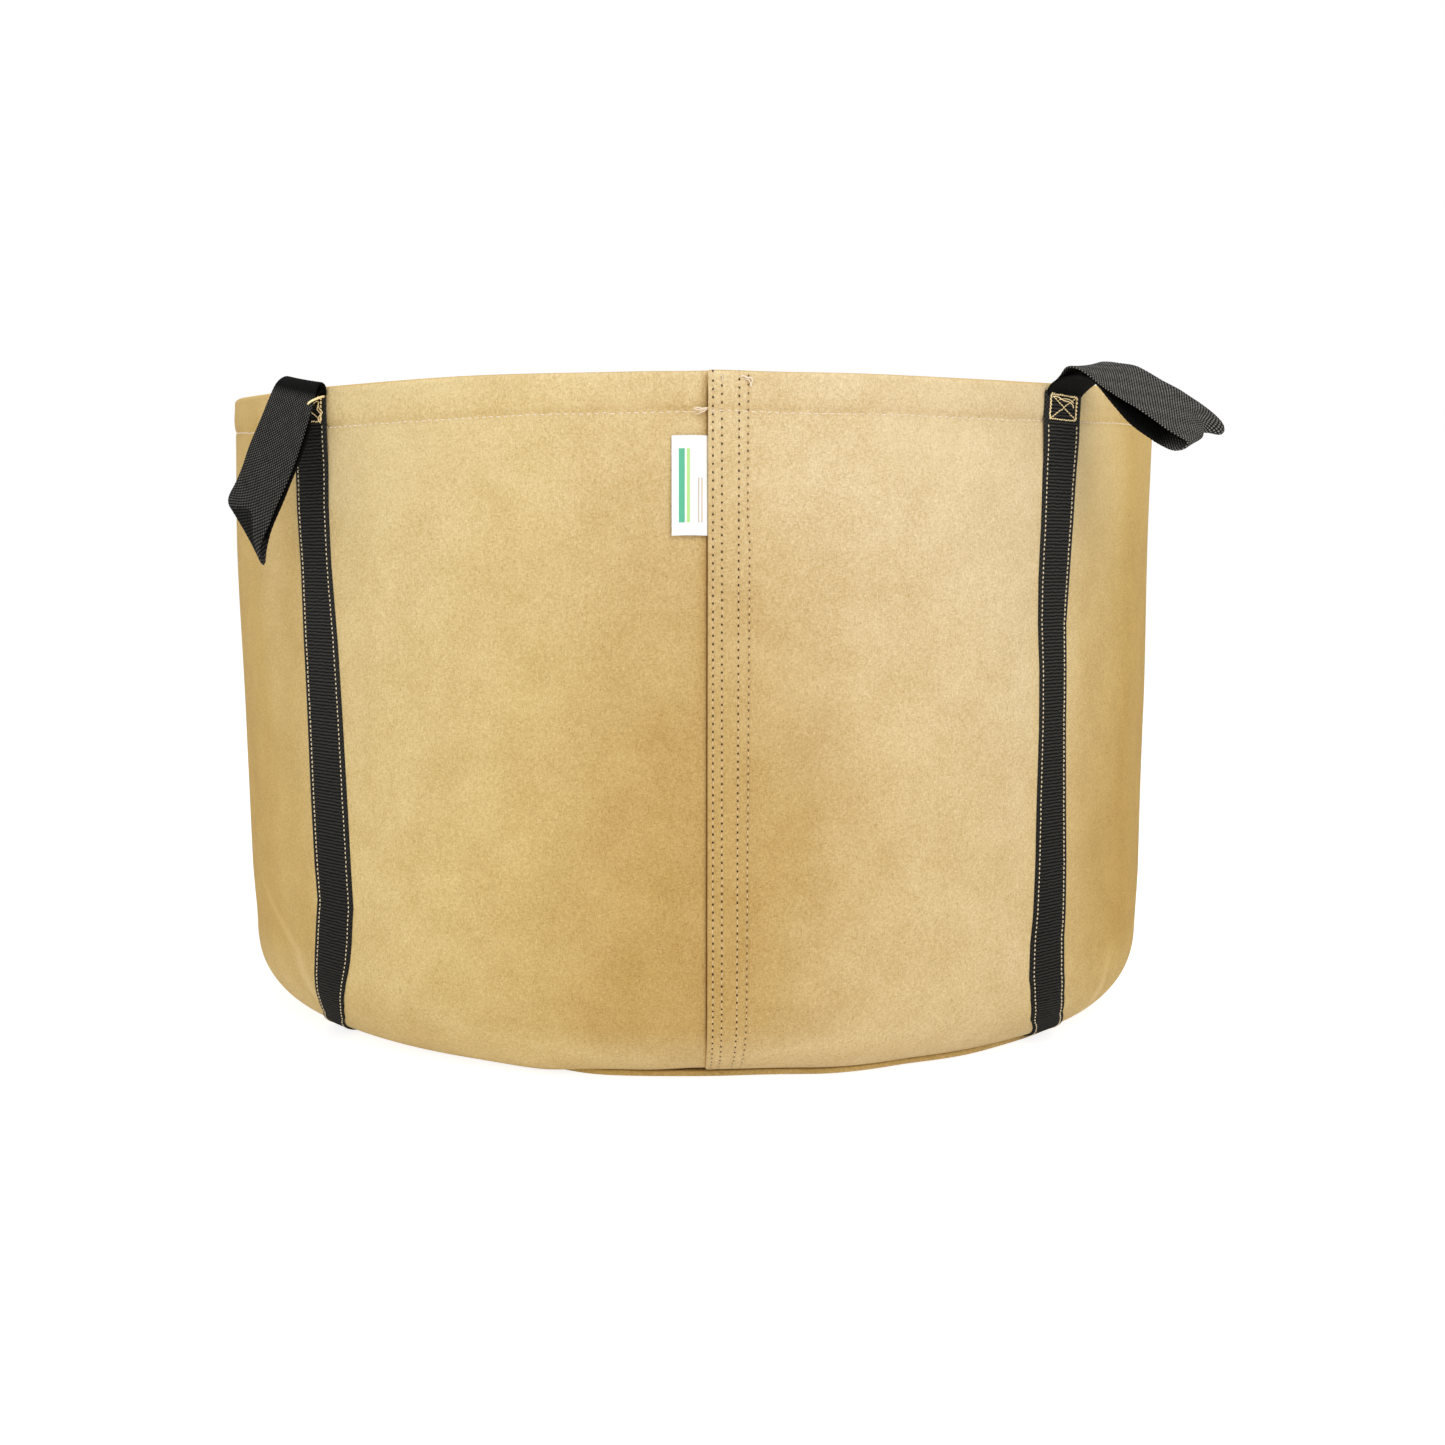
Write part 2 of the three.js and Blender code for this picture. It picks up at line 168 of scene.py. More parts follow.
lip_width = round_bag([-180, -75, -62, -17, -11, -6, 0, 12, 20, 40, 60, 180],
                      [3, 3, 1.5, 1.5, 3.5, 5, 5.5, 5.5, 3.2, 2.8, 3, 3], 1.5)
lip_radius = round_bag(
    [-180, -130, -90, -60, -36, -26, -20, -14, -8, 0, 5, 10, 13,
     17, 24, 28, 32, 37, 45, 55, 65, 80, 100, 130, 180],
    [346, 344, 343, 343, 345, 344, 348.5, 352.5, 351.5, 348.5, 347.5, 347.5, 350,
     356.5, 357, 354, 357, 360, 359, 361, 358, 354, 350, 347, 346], 2.0)

# Low waves over the wall: count round the bag, phase, rate up the wall, phase, size
_wave_rng = np.random.default_rng(11)
WAVES = [(_wave_rng.integers(2, 15), _wave_rng.uniform(0, 2 * math.pi),
          _wave_rng.uniform(0.002, 0.012), _wave_rng.uniform(0, 2 * math.pi),
          _wave_rng.uniform(0.4, 1.0)) for _ in range(26)]
WAVE_SCALE = 0.42

# angle, z, half-size in degrees, half-size in mm, depth (+ out), lean in degrees per 100 mm
DENTS = [
    (-4.0, 210, 10.0, 120, -5.0, 0.0), (-13.0, 130, 12.0, 90, -2.5, 0.0),
    (11.5, 190, 4.2, 75, -5.0, 6.0), (17.5, 130, 4.5, 80, 3.2, 6.0),
    (24.0, 250, 12.0, 140, 2.0, 0.0), (-26.0, 330, 12.0, 160, 2.0, 0.0),
    (-11.0, 95, 2.2, 22, -1.6, -14.0), (14.0, 110, 6.0, 34, 2.5, 0.0),
    (-52.0, 120, 5.0, 60, -3.0, 0.0), (58.0, 120, 6.0, 60, -3.0, 0.0),
    (52.0, 330, 4.0, 120, -2.5, 0.0), (-52.5, 380, 4.0, 90, -3.5, 0.0),
    (88.0, 240, 14.0, 120, -4.0, 0.0), (112.0, 330, 12.0, 130, 3.0, 0.0),
    (160.0, 200, 12.0, 120, -5.0, 0.0), (181.0, 320, 14.0, 140, 3.0, 0.0),
    (-160.0, 170, 10.0, 100, -4.5, 0.0), (-100.0, 260, 14.0, 130, -4.0, 0.0),
    (-78.0, 150, 9.0, 90, 2.5, 0.0), (-80.0, 270, 14.0, 60, 2.0, 0.0),
    (-80.0, 370, 14.0, 60, 2.6, 0.0),
]

# Painted shade on the felt, where hollows and the wall's turn keep light off, and painted light
# where strength is below 0; the columns of DENTS, with strength for depth.
SHADE_SPOTS = [
    (-1.5, 165, 12.5, 175, 0.86, 0.0), (-3.0, 40, 14.0, 60, 0.3, 0.0),
    (9.0, 160, 2.6, 55, 0.30, 7.0), (-3.0, 440, 7.0, 70, 0.17, 0.0),
    (6.0, 250, 9.0, 120, 0.22, 0.0), (22.0, 170, 9.0, 90, 0.18, 0.0),
    (-68.0, 170, 6.0, 110, 0.12, 0.0), (55.0, 170, 8.0, 100, 0.40, 0.0),
    (180.0, 160, 30.0, 160, 0.5, 0.0), (120.0, 120, 25.0, 120, 0.4, 0.0),
    (-120.0, 140, 25.0, 120, 0.4, 0.0),
    (7.9, 150, 2.2, 30, -0.22, 0.0),      # a paler patch beside the seam
]

# Painted highlights along soft folds low on the wall: heights, angles, strength, half-width in
# degrees
HIGHLIGHT_STREAKS = [
    ([24, 37, 70, 98, 128], [-48.5, -49.8, -53.4, -60.8, -68.0], 0.42, 0.9),
    ([8, 32, 55, 82], [57.3, 58.3, 58.8, 61.0], 0.34, 0.8),
]


def wall_radius(z):
    """The plain cone of the wall."""
    part = (np.asarray(z, float) - CORNER_Z) / (RIM_Z - CORNER_Z)
    return CORNER_R + (RIM_R - CORNER_R) * (np.asarray(z, float) - CORNER_Z) / (RIM_Z - CORNER_Z) \
        if part is not None else None


def dent(angle, z):
    """Radial displacement of the felt, positive outwards."""
    angle = np.asarray(angle, float)
    z = np.asarray(z, float)
    shift = np.zeros(np.broadcast(angle, z).shape)
    for count, phase, rate, start, size in WAVES:
        shift = shift + (size * WAVE_SCALE * np.sin(count * angle * DEG + phase)
                         * np.sin(rate * z + start))
    for entry in DENTS:
        shift = shift + spot(angle, z, *entry)
    # the felt keeps its shape at the straps, the rim, the foot and the seam
    for strap_angle0 in STRAPS.values():
        shift = shift * (1 - 0.85 * gauss(angle_gap(angle, strap_angle0), 4.0))
    shift = shift * (1 - 0.8 * ease(z, 430, 500)) * ease(z, -20, 70)
    shift = shift * (1 - 0.75 * gauss(angle_gap(angle, 4.7), 3.2))
    # the lower half stands a little to the right, and leans in just above the corner
    side = np.sin(angle * DEG)
    shift = shift + np.where(side < 0, 3.1, 4.2) * side * (1 - ease(z, 250, 430)) * ease(z, -20, 80)
    return shift - 1.8 * (1 - ease(z, 62, 122)) * ease(z, 6, 60)


def foot_dent(angle, z):
    """The dents, faded out down the foot."""
    return dent(angle, z) * ease(z, 0, CORNER_Z)


def rim_rise(angle):
    """How far the rim waves up or down."""
    angle = np.asarray(angle, float)
    return (0.7 * np.sin(3 * angle * DEG + 1.0) + 0.5 * np.sin(7 * angle * DEG + 0.3)
            + 0.3 * np.sin(13 * angle * DEG) - 1.1 * gauss(angle_gap(angle, 9.5), 5.0)
            + 0.6 * gauss(angle_gap(angle, 3.6), 2.4)
            + 0.7 * gauss(angle_gap(angle, -20), 11.0) + rim_lift(angle))


# powers that shape the foot sideways and upwards, times foot_flat
FOOT_SIDE_POWER, FOOT_UP_POWER = 1.22, 1.16


def foot_end(angle):
    return lip_radius(angle) - lip_width(angle)


def foot_shape(angle, radius, z):
    """Moves points of the plain foot to its real shape, ending on the base's edge."""
    side = np.clip((np.asarray(radius, float) - FOOT_R) / (CORNER_R - FOOT_R), 0, 1)
    drop = np.clip((CORNER_Z - np.asarray(z, float)) / (CORNER_Z - LAP_Z), 0, 1)
    end = foot_end(angle)
    flat = foot_flat(angle)
    low = np.asarray(z, float) < CORNER_Z
    new_radius = np.where(radius < FOOT_R, radius + (end - FOOT_R) * ease(radius, LAP_R, FOOT_R),
                          end + (CORNER_R - end) * side ** (FOOT_SIDE_POWER * flat))
    new_z = CORNER_Z - (CORNER_Z - LAP_Z) * drop ** (FOOT_UP_POWER * flat)
    new_z = new_z - (3.8 * tuck(angle) * ease(new_radius, end - 6, end - 1)
                     * (1 - ease(new_z, LAP_Z, 34)))
    return np.where(low, new_radius, radius), np.where(low, new_z, z)


def wall_outer(angle, z):
    """Outer radius of the felt, away from the hidden layer of the side seam."""
    z = np.asarray(z, float)
    flat = foot_flat(angle)
    drop = np.clip((CORNER_Z - z) / (CORNER_Z - LAP_Z), 0, 1) ** (1 / (FOOT_UP_POWER * flat))
    end = foot_end(angle)
    side = np.sqrt(np.clip(1 - drop * drop, 0, 1)) ** (FOOT_SIDE_POWER * flat)
    radius = np.where(z >= CORNER_Z, wall_radius(z), end + (CORNER_R - end) * side)
    return radius + foot_dent(angle, z) - 1.2 * bell(z - HEM_Z, 1.7)


def band_lift(angle):
    """The doubled band at the seam stands proud and falls off past the last row."""
    return 1.3 * (1 - ease(angle, 6.45, 8.0))


def lap_sink(angle, z):
    """The seam's hidden layer lies inside the outer one."""
    return (ease(angle, LAP_EDGE - 7.0, LAP_EDGE - 0.9)
            * (3.0 + 2.6 * ease(z, HEM_Z - 30, HEM_Z + 4)))


def row_angle(i, along):
    """Angle of seam row i at a length along the sheet."""
    z = np.asarray(along, float) - ARC_SHIFT
    angle = ROWS_LOW[i] + (ROWS_TOP[i] - ROWS_LOW[i]) * (z / RIM_Z)
    if i == 3:
        angle = angle + JOG * (1 - np.clip((z - JOG_Z) / JOG_H, 0, 1)) - LAST_ROW_SHIFT
    return angle


# ---------------------------------------------------------------- paths up and down the wall
def foot_arc(turns, width, height):
    """Quarter ellipse of the foot: r, z and normal at turns from 0 (below) to 90 (side)."""
    points = []
    for turn in turns:
        sine, cosine = math.sin(turn * DEG), math.cos(turn * DEG)
        normal_r, normal_z = sine / width, -cosine / height
        size = math.hypot(normal_r, normal_z)
        points.append((FOOT_R + width * sine, CORNER_Z - height * cosine,
                       normal_r / size, normal_z / size))
    return points


def sheet_path():
    """Middle of the sheet from its raw edge on the base, up and over the rim, down inside."""
    half = FELT / 2
    points = [(r, LAP_Z + half, 0, -1) for r in np.linspace(LAP_R, FOOT_R, 7)[:-1]]
    points += foot_arc(np.linspace(0, 90, 44)[:-1],
                       CORNER_R - half - FOOT_R, CORNER_Z - LAP_Z - half)
    top = RIM_Z - (half + HEM_BEND)
    count = int(round((top - CORNER_Z) / 1.7))
    for z in np.linspace(CORNER_Z, top, count + 1)[:-1]:
        points.append((float(wall_radius(z)) - half, z, 1, 0))
    bend_r = float(wall_radius(top)) - half - HEM_BEND
    for turn in np.linspace(0, 180, 13):
        cosine, sine = math.cos(turn * DEG), math.sin(turn * DEG)
        points.append((bend_r + HEM_BEND * cosine, top + HEM_BEND * sine, cosine, sine))
    for z in np.linspace(top, HEM_Z + 0.3, 9)[1:]:
        points.append((float(wall_radius(z)) - half - 2 * HEM_BEND, z, -1, 0))
    return np.array(points)


def outside_path(z_top, step, last_turn):
    """Down the wall's outside and round the foot: columns r, z, normal r, normal z."""
    points = [(float(wall_radius(z)), z, 1.0, 0.0) for z in np.arange(z_top, CORNER_Z, -step)]
    width, height = CORNER_R - FOOT_R, CORNER_Z - LAP_Z
    length = math.pi / 2 * (width + height) / 2 * (90 - last_turn) / 90
    turns = np.linspace(90, last_turn, max(3, int(length / step)) + 1)
    return np.array(points + foot_arc(turns, width, height))


# ---------------------------------------------------------------- mesh helpers
def build(name, verts, faces, material, replaced, body="bag", uv=None, shade=None):
    mesh = bpy.data.meshes.new(name)
    mesh.from_pydata((np.asarray(verts, float) * 0.001).tolist(), [],
                     [list(map(int, face)) for face in faces])
    mesh.update()
    if uv is not None:
        layer = mesh.uv_layers.new(name="UVMap")
        index = np.zeros(len(mesh.loops), np.int32)
        mesh.loops.foreach_get("vertex_index", index)
        layer.data.foreach_set("uv", np.asarray(uv, np.float32)[index].ravel())
    if shade is not None:
        attribute = mesh.attributes.new("shade", "FLOAT", "POINT")
        attribute.data.foreach_set("value", np.asarray(shade, np.float32).ravel())
    mesh.polygons.foreach_set("use_smooth", np.ones(len(mesh.polygons), bool))
    mesh.materials.append(material)
    made = bpy.data.objects.new(name, mesh)
    bpy.context.scene.collection.objects.link(made)
    if body:
        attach(made, body)
    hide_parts(*replaced)
    work = bmesh.new()
    work.from_mesh(mesh)
    if work.calc_volume(signed=True) < 0:
        bmesh.ops.reverse_faces(work, faces=work.faces[:])
        work.to_mesh(mesh)
    work.free()
    return made


def grid_faces(rows, columns, wrap_rows=False, wrap_columns=False, first=0):
    i, j = np.meshgrid(np.arange(rows if wrap_rows else rows - 1),
                       np.arange(columns if wrap_columns else columns - 1), indexing="ij")
    next_i, next_j = (i + 1) % rows, (j + 1) % columns
    quads = [i * columns + j, i * columns + next_j,
             next_i * columns + next_j, next_i * columns + j]
    return np.stack(quads, -1).reshape(-1, 4) + first


def closed_sheet(name, outer, inner, material, replaced, uv, shade=None, body="bag"):
    """A sheet with two sides and four edges; outer and inner are (rows, columns, 3) grids."""
    rows, columns = outer.shape[:2]
    under = rows * columns                 # index shift from the outer to the inner side
    last_row = (rows - 1) * columns
    last = columns - 1
    i = np.arange(rows - 1)
    j = np.arange(columns - 1)
    faces = np.concatenate([
        grid_faces(rows, columns),
        grid_faces(rows, columns, first=under)[:, ::-1],
        np.stack([j + 1, j, under + j, under + j + 1], -1),
        np.stack([last_row + j, last_row + j + 1,
                  under + last_row + j + 1, under + last_row + j], -1),
        np.stack([i * columns, (i + 1) * columns,
                  under + (i + 1) * columns, under + i * columns], -1),
        np.stack([(i + 1) * columns + last, i * columns + last,
                  under + i * columns + last, under + (i + 1) * columns + last], -1)])
    verts = np.concatenate([outer.reshape(-1, 3), inner.reshape(-1, 3)])
    uv = np.concatenate([uv.reshape(-1, 2)] * 2)
    if shade is not None:
        shade = np.concatenate([shade.ravel()] * 2)
    return build(name, verts, faces, material, replaced, body, uv, shade)


# ---------------------------------------------------------------- threads
RING = 6                                   # sides of a thread
RING_TURN = (np.arange(RING) * 2 * math.pi / RING)[:, None]

# One stitch: part of its length, height (times sink below the felt or lift above), thickness
STITCH_PART = [0.0, 0.1, 0.28, 0.5, 0.72, 0.9, 1.0]
STITCH_LIFT = [0, 0, 0.8, 1, 0.8, 0, 0]
STITCH_SINK = [1, 0, 0, 0, 0, 0, 1]
STITCH_THICK = [0.55, 0.85, 1.0, 1.05, 1.0, 0.85, 0.55]


def end_caps(first, rows):
    return [[first + i for i in reversed(range(RING))],
            [first + (rows - 1) * RING + i for i in range(RING)]]


def tube(points, radius):
    """Vertices and faces of a bent round thread through points."""
    points = np.asarray(points, float)
    marks = lengths(points)
    count = max(8, int(marks[-1] / 0.8))
    centres = spline(points, marks, np.linspace(0, marks[-1], count))
    along = np.gradient(centres, axis=0)
    along /= np.linalg.norm(along, axis=1, keepdims=True)
    upward = np.array([0.3, -0.8, 0.5])
    normal = upward - along * (along @ upward)[:, None]
    normal /= np.linalg.norm(normal, axis=1, keepdims=True)
    across = np.cross(along, normal)
    thick = np.full(count, float(radius))
    thick[[0, -1]] *= 0.6                  # tapered ends
    verts = centres[:, None] + (normal[:, None] * np.cos(RING_TURN)
                                + across[:, None] * np.sin(RING_TURN)) * thick[:, None, None]
    faces = [list(face) for face in grid_faces(count, RING, wrap_columns=True)]
    return verts.reshape(-1, 3), faces + end_caps(0, count)


def stitches(name, runs, material, replaced, radius, lift, sink, jitter=0.06, extra=()):
    """A small arched thread for each (start, end, normal) in runs, then any loose threads."""
    runs = np.array(runs)
    start, normal = runs[:, 0], runs[:, 2]
    count = len(runs)
    along = runs[:, 1] - start
    length = np.linalg.norm(along, axis=1, keepdims=True)
    along = along / length
    normal = normal - (normal * along).sum(1, keepdims=True) * along
    normal /= np.linalg.norm(normal, axis=1, keepdims=True)
    across = np.cross(along, normal)
    wobble = rng.normal(0, jitter, (count, 3))
    rows = len(STITCH_PART)
    verts = np.zeros((count, rows, RING, 3))
    for i, part in enumerate(STITCH_PART):
        height = lift * STITCH_LIFT[i] - sink * STITCH_SINK[i]
        centre = (start + along * (length * part) + normal * (height * (1 + wobble[:, :1]))
                  + across * (wobble[:, 1:2] * 1.6 * math.sin(math.pi * part) + wobble[:, 2:3]))
        circle = (across[:, None] * np.cos(RING_TURN)
                  + normal[:, None] * np.sin(RING_TURN) * 0.85)
        verts[:, i] = centre[:, None] + circle * radius * STITCH_THICK[i]
    each = rows * RING
    quads = (grid_faces(rows, RING, wrap_columns=True)[None]
             + (np.arange(count) * each)[:, None, None])
    faces = [list(face) for face in quads.reshape(-1, 4)]
    for i in range(count):
        faces += end_caps(i * each, rows)
    verts = verts.reshape(-1, 3)
    for more_verts, more_faces in extra:
        first = len(verts)
        verts = np.concatenate([verts, more_verts])
        faces += [[first + i for i in face] for face in more_faces]
    build(name, verts, faces, material, [replaced])


# ---------------------------------------------------------------- material helpers
def srgb(*levels):
    """Linear colour from 0..255 levels."""
    return tuple((level / 255) / 12.92 if level / 255 <= 0.04045
                 else ((level / 255 + 0.055) / 1.055) ** 2.4 for level in levels)


def scaled(colour, gain):
    return tuple(min(1, level * gain) for level in colour)


class Shader:
    """A material with one principled surface, and short calls for its nodes."""

    def __init__(self, name):
        self.material = bpy.data.materials.new(name)
        self.material.use_nodes = True
        self.tree = self.material.node_tree
        self.tree.nodes.clear()
        output = self.node("ShaderNodeOutputMaterial")
        self.surface = self.node("ShaderNodeBsdfPrincipled")
        self.tree.links.new(self.surface.outputs[0], output.inputs[0])

    def fill(self, node, inputs):
        for socket, value in inputs.items():
            if isinstance(value, bpy.types.NodeSocket):
                self.tree.links.new(value, node.inputs[socket])
            else:
                node.inputs[socket].default_value = value

    def node(self, kind, inputs={}, **settings):
        node = self.tree.nodes.new(kind)
        for key, value in settings.items():
            setattr(node, key, value)
        self.fill(node, inputs)
        return node

    def finish(self, colour, normal, **values):
        """Feeds the surface; underscores in names of values stand for spaces."""
        inputs = {key.replace("_", " "): value for key, value in values.items()}
        self.fill(self.surface, {"Base Color": colour, "Normal": normal, **inputs})
        return self.material

    def coords(self, kind):
        return self.node("ShaderNodeTexCoord").outputs[kind]

    def shade(self):
        return self.node("ShaderNodeAttribute", attribute_name="shade").outputs["Fac"]

    def separate(self, vector):
        return self.node("ShaderNodeSeparateXYZ", {0: vector}).outputs

    def math(self, operation, *values, clamp=False):
        return self.node("ShaderNodeMath", dict(enumerate(values)),
                         operation=operation, use_clamp=clamp).outputs[0]

    def add(self, value, other, clamp=False):
        return self.math("ADD", value, other, clamp=clamp)

    def sub(self, value, other, clamp=False):
        return self.math("SUBTRACT", value, other, clamp=clamp)

    def mul(self, value, gain, clamp=False):
        return self.math("MULTIPLY", value, gain, clamp=clamp)

    def gain_add(self, value, gain, offset, clamp=False):
        return self.math("MULTIPLY_ADD", value, gain, offset, clamp=clamp)

    def spread(self, value, gain, middle=0.5):
        """The value's distance from its middle, times gain."""
        return self.mul(self.sub(value, middle), gain)

    def wave(self, operation, value, length):
        return self.math(operation, self.mul(value, 2 * math.pi / length))

    def raised(self, wave):
        """A -1..1 wave brought to 0..1."""
        return self.gain_add(wave, gain=0.5, offset=0.5)

    def ramp(self, value, start, end, low=0.0, high=1.0):
        """Clamped line from low at start to high at end."""
        return self.node("ShaderNodeMapRange", {1: start, 2: end, 3: low, 4: high, 0: value},
                         clamp=True).outputs[0]

    def noise(self, vector, scale, detail=3, rough=0.55, distort=0.0):
        return self.node("ShaderNodeTexNoise", {
            "Scale": scale, "Detail": detail, "Roughness": rough, "Distortion": distort,
            "Vector": vector}).outputs["Fac"]

    def streaks(self, vector, scales, turn=0.0, **noise):
        """Noise stretched by scales after a turn about Z."""
        mapped = self.node("ShaderNodeMapping", {
            "Scale": scales, "Rotation": (0, 0, turn), "Vector": vector}).outputs[0]
        return self.noise(mapped, scale=1.0, **noise)

    def mix(self, amount, base, colour, blend="MIX"):
        inputs = {0: amount, 6: base, 7: colour}
        for socket, value in inputs.items():
            if isinstance(value, tuple):
                inputs[socket] = value + (1,)
        return self.node("ShaderNodeMix", inputs, data_type="RGBA", blend_type=blend).outputs[2]

    def tint(self, amount, base, colour):
        """Multiplies base by colour, by amount."""
        return self.mix(amount, base, self.mix(1.0, base, colour, "MULTIPLY"))

    def bump(self, height, distance, strength, normal=None):
        inputs = {"Strength": strength, "Distance": distance, "Height": height}
        if normal is not None:
            inputs["Normal"] = normal
        return self.node("ShaderNodeBump", inputs).outputs[0]


# ---------------------------------------------------------------- felt
def row_line(i):
    """Seam row i on the felt's UV map, metres: u = offset + slope * v, and its sidestep."""
    per_degree = DEG * (UNROLL_R / 1000)
    slope = (ROWS_TOP[i] - ROWS_LOW[i]) * per_degree / (RIM_Z * 0.001)
    offset = ROWS_LOW[i] * per_degree - slope * ARC_SHIFT * 0.001
    jog = None
    if i == 3:
        offset -= LAST_ROW_SHIFT * per_degree
        jog = dict(start=(JOG_Z + ARC_SHIFT) * 0.001, end=(JOG_Z + JOG_H + ARC_SHIFT) * 0.001,
                   low=JOG * per_degree, high=0.0)
    return offset, slope, jog


def needle_holes(shader, vector):
    """Masks of the seam rows' needle holes and of the lines they lie on."""
    hole_half_width, hole_half_length = 0.00068, 0.00094
    pitch = SEAM_PITCH * 0.001
    u, v = shader.separate(vector)[:2]
    holes = lines = None
    for i in range(4):
        offset, slope, jog = row_line(i)
        strength = 1.0 if i < 3 else 0.75
        line = shader.gain_add(v, slope, offset)
        if jog:
            line = shader.add(line, shader.ramp(v, **jog))
        across = shader.math("DIVIDE", shader.sub(u, line), hole_half_width)
        uneven = shader.spread(shader.noise(vector, scale=150 + 7 * i, detail=1), gain=0.0012)
        from_start = shader.sub(v, FIRST_HOLE[i] * 0.001)
        step = shader.math("DIVIDE", shader.add(from_start, uneven), pitch)
        near = shader.sub(shader.math("FRACT", shader.add(step, 0.5)), 0.5)
        along = shader.mul(near, pitch / hole_half_length)
        distance = shader.math("SQRT", shader.add(shader.mul(across, across),
                                                  shader.mul(along, along)))
        vary = shader.gain_add(shader.noise(vector, scale=95 + 11 * i, detail=1),
                               gain=1.1, offset=0.55 * strength, clamp=True)
        hole = shader.mul(shader.ramp(distance, start=0.55, end=1.12, low=1, high=0),
                          shader.mul(vary, strength))
        band = shader.ramp(shader.math("ABSOLUTE", across), start=0.1, end=1.6, low=1, high=0)
        holes = hole if holes is None else shader.math("MAXIMUM", holes, hole)
        lines = band if lines is None else shader.math("MAXIMUM", lines, band)
    return holes, lines


def felt_material(name, light, deep, seamed):
    """Felt. The shade attribute paints light and shade: 0..1 painted shade, 1..2 a dark painted
    shadow line, below 0 painted light.
    """
    shader = Shader(name)
    coords = shader.node("ShaderNodeTexCoord").outputs
    place = coords["Object"]
    vector = coords["UV"] if seamed else place
    strokes = shader.streaks(vector, (980, 430, 980), turn=0.7, detail=3, rough=0.6, distort=0.9)
    crossing = shader.streaks(vector, (390, 880, 650), turn=-0.5, detail=2, rough=0.6, distort=0.6)
    fuzz = shader.noise(place, scale=2400, detail=2, rough=0.6)
    pills = shader.noise(place, scale=190, detail=3, rough=0.6)
    mottle = shader.noise(place, scale=26, detail=3, rough=0.6)
    fine = shader.gain_add(crossing, gain=0.55, offset=shader.mul(strokes, gain=0.6))
    tone = shader.add(shader.spread(fine, gain=2.5, middle=0.575), shader.spread(pills, gain=0.4))
    tone = shader.add(tone, shader.spread(mottle, gain=0.75))
    colour = shader.mix(shader.add(tone, 0.52, clamp=True), deep, light)
    # stray paler and darker fibres
    hair = shader.streaks(vector, (1300, 230, 1300), turn=1.1, detail=1, rough=0.5, distort=1.4)
    for start, end, amount, fibre in ((0.64, 0.72, 0.4, scaled(light, 1.2)),
                                      (0.36, 0.29, 0.45, scaled(deep, 0.68))):
        colour = shader.mix(shader.mul(shader.ramp(hair, start, end), amount), colour, fibre)
    shade = shader.shade()
    # painted shade from the shade attribute, then its dark painted shadow line
    colour = shader.tint(shader.mul(shade, 1.0, clamp=True), colour, (0.77, 0.675, 0.49))
    colour = shader.tint(shader.sub(shade, 1.0, clamp=True), colour, (0.30, 0.17, 0.07))
    # painted shade where the felt is seen edge on, faded out near the floor
    facing = shader.node("ShaderNodeLayerWeight", {"Blend": 0.5}).outputs["Facing"]
    limb = shader.ramp(facing, start=0.36, end=0.70)
    x, _, z = shader.separate(place)
    limb = shader.mul(shader.math("POWER", limb, 1.3), shader.ramp(z, start=0.012, end=0.075))
    # slow changes of colour over the bag: axis, start, end, tint
    for axis, start, end, tint in ((z, 0.42, 0.16, (0.985, 0.965, 0.865)),
                                   (x, 0.10, -0.12, (0.985, 0.965, 0.80)),
                                   (x, 0.25, 0.35, (0.985, 0.965, 0.76))):
        colour = shader.tint(shader.ramp(axis, start, end), colour, tint)
    # painted shade towards the right side, below the rim, where the wall turns away
    for start, end, tint in ((0.362, 0.386, (0.955, 0.95, 0.90)),
                             (0.314, 0.338, (0.96, 0.945, 0.90))):
        far = shader.mul(shader.ramp(x, start, end), shader.ramp(z, start=0.44, end=0.36))
        colour = shader.tint(far, colour, tint)
    # painted light where the shade attribute is below 0
    colour = shader.mix(shader.sub(0.0, shade, clamp=True), colour, srgb(255, 233, 184))
    # the painted edge-on shade
    colour = shader.tint(limb, colour, (0.84, 0.73, 0.45))
    height = fine
    if seamed:
        holes, lines = needle_holes(shader, vector)
        # painted shade: a slight darkening along the stitch rows' grooves, and dark brown in the
        # needle holes
        colour = shader.mix(shader.mul(lines, gain=0.12), colour, srgb(200, 160, 96))
        colour = shader.mix(holes, colour, srgb(38, 14, 1))
        height = shader.sub(fine, shader.mul(holes, gain=0.9))
    normal = shader.bump(height, distance=0.0013, strength=0.85)
    normal = shader.bump(fuzz, distance=0.0003, strength=0.5, normal=normal)
    normal = shader.bump(pills, distance=0.0018, strength=0.4, normal=normal)
    return shader.finish(colour, normal, Roughness=0.97, Specular_IOR_Level=0.12,
                         Sheen_Weight=0.12, Sheen_Roughness=0.6)


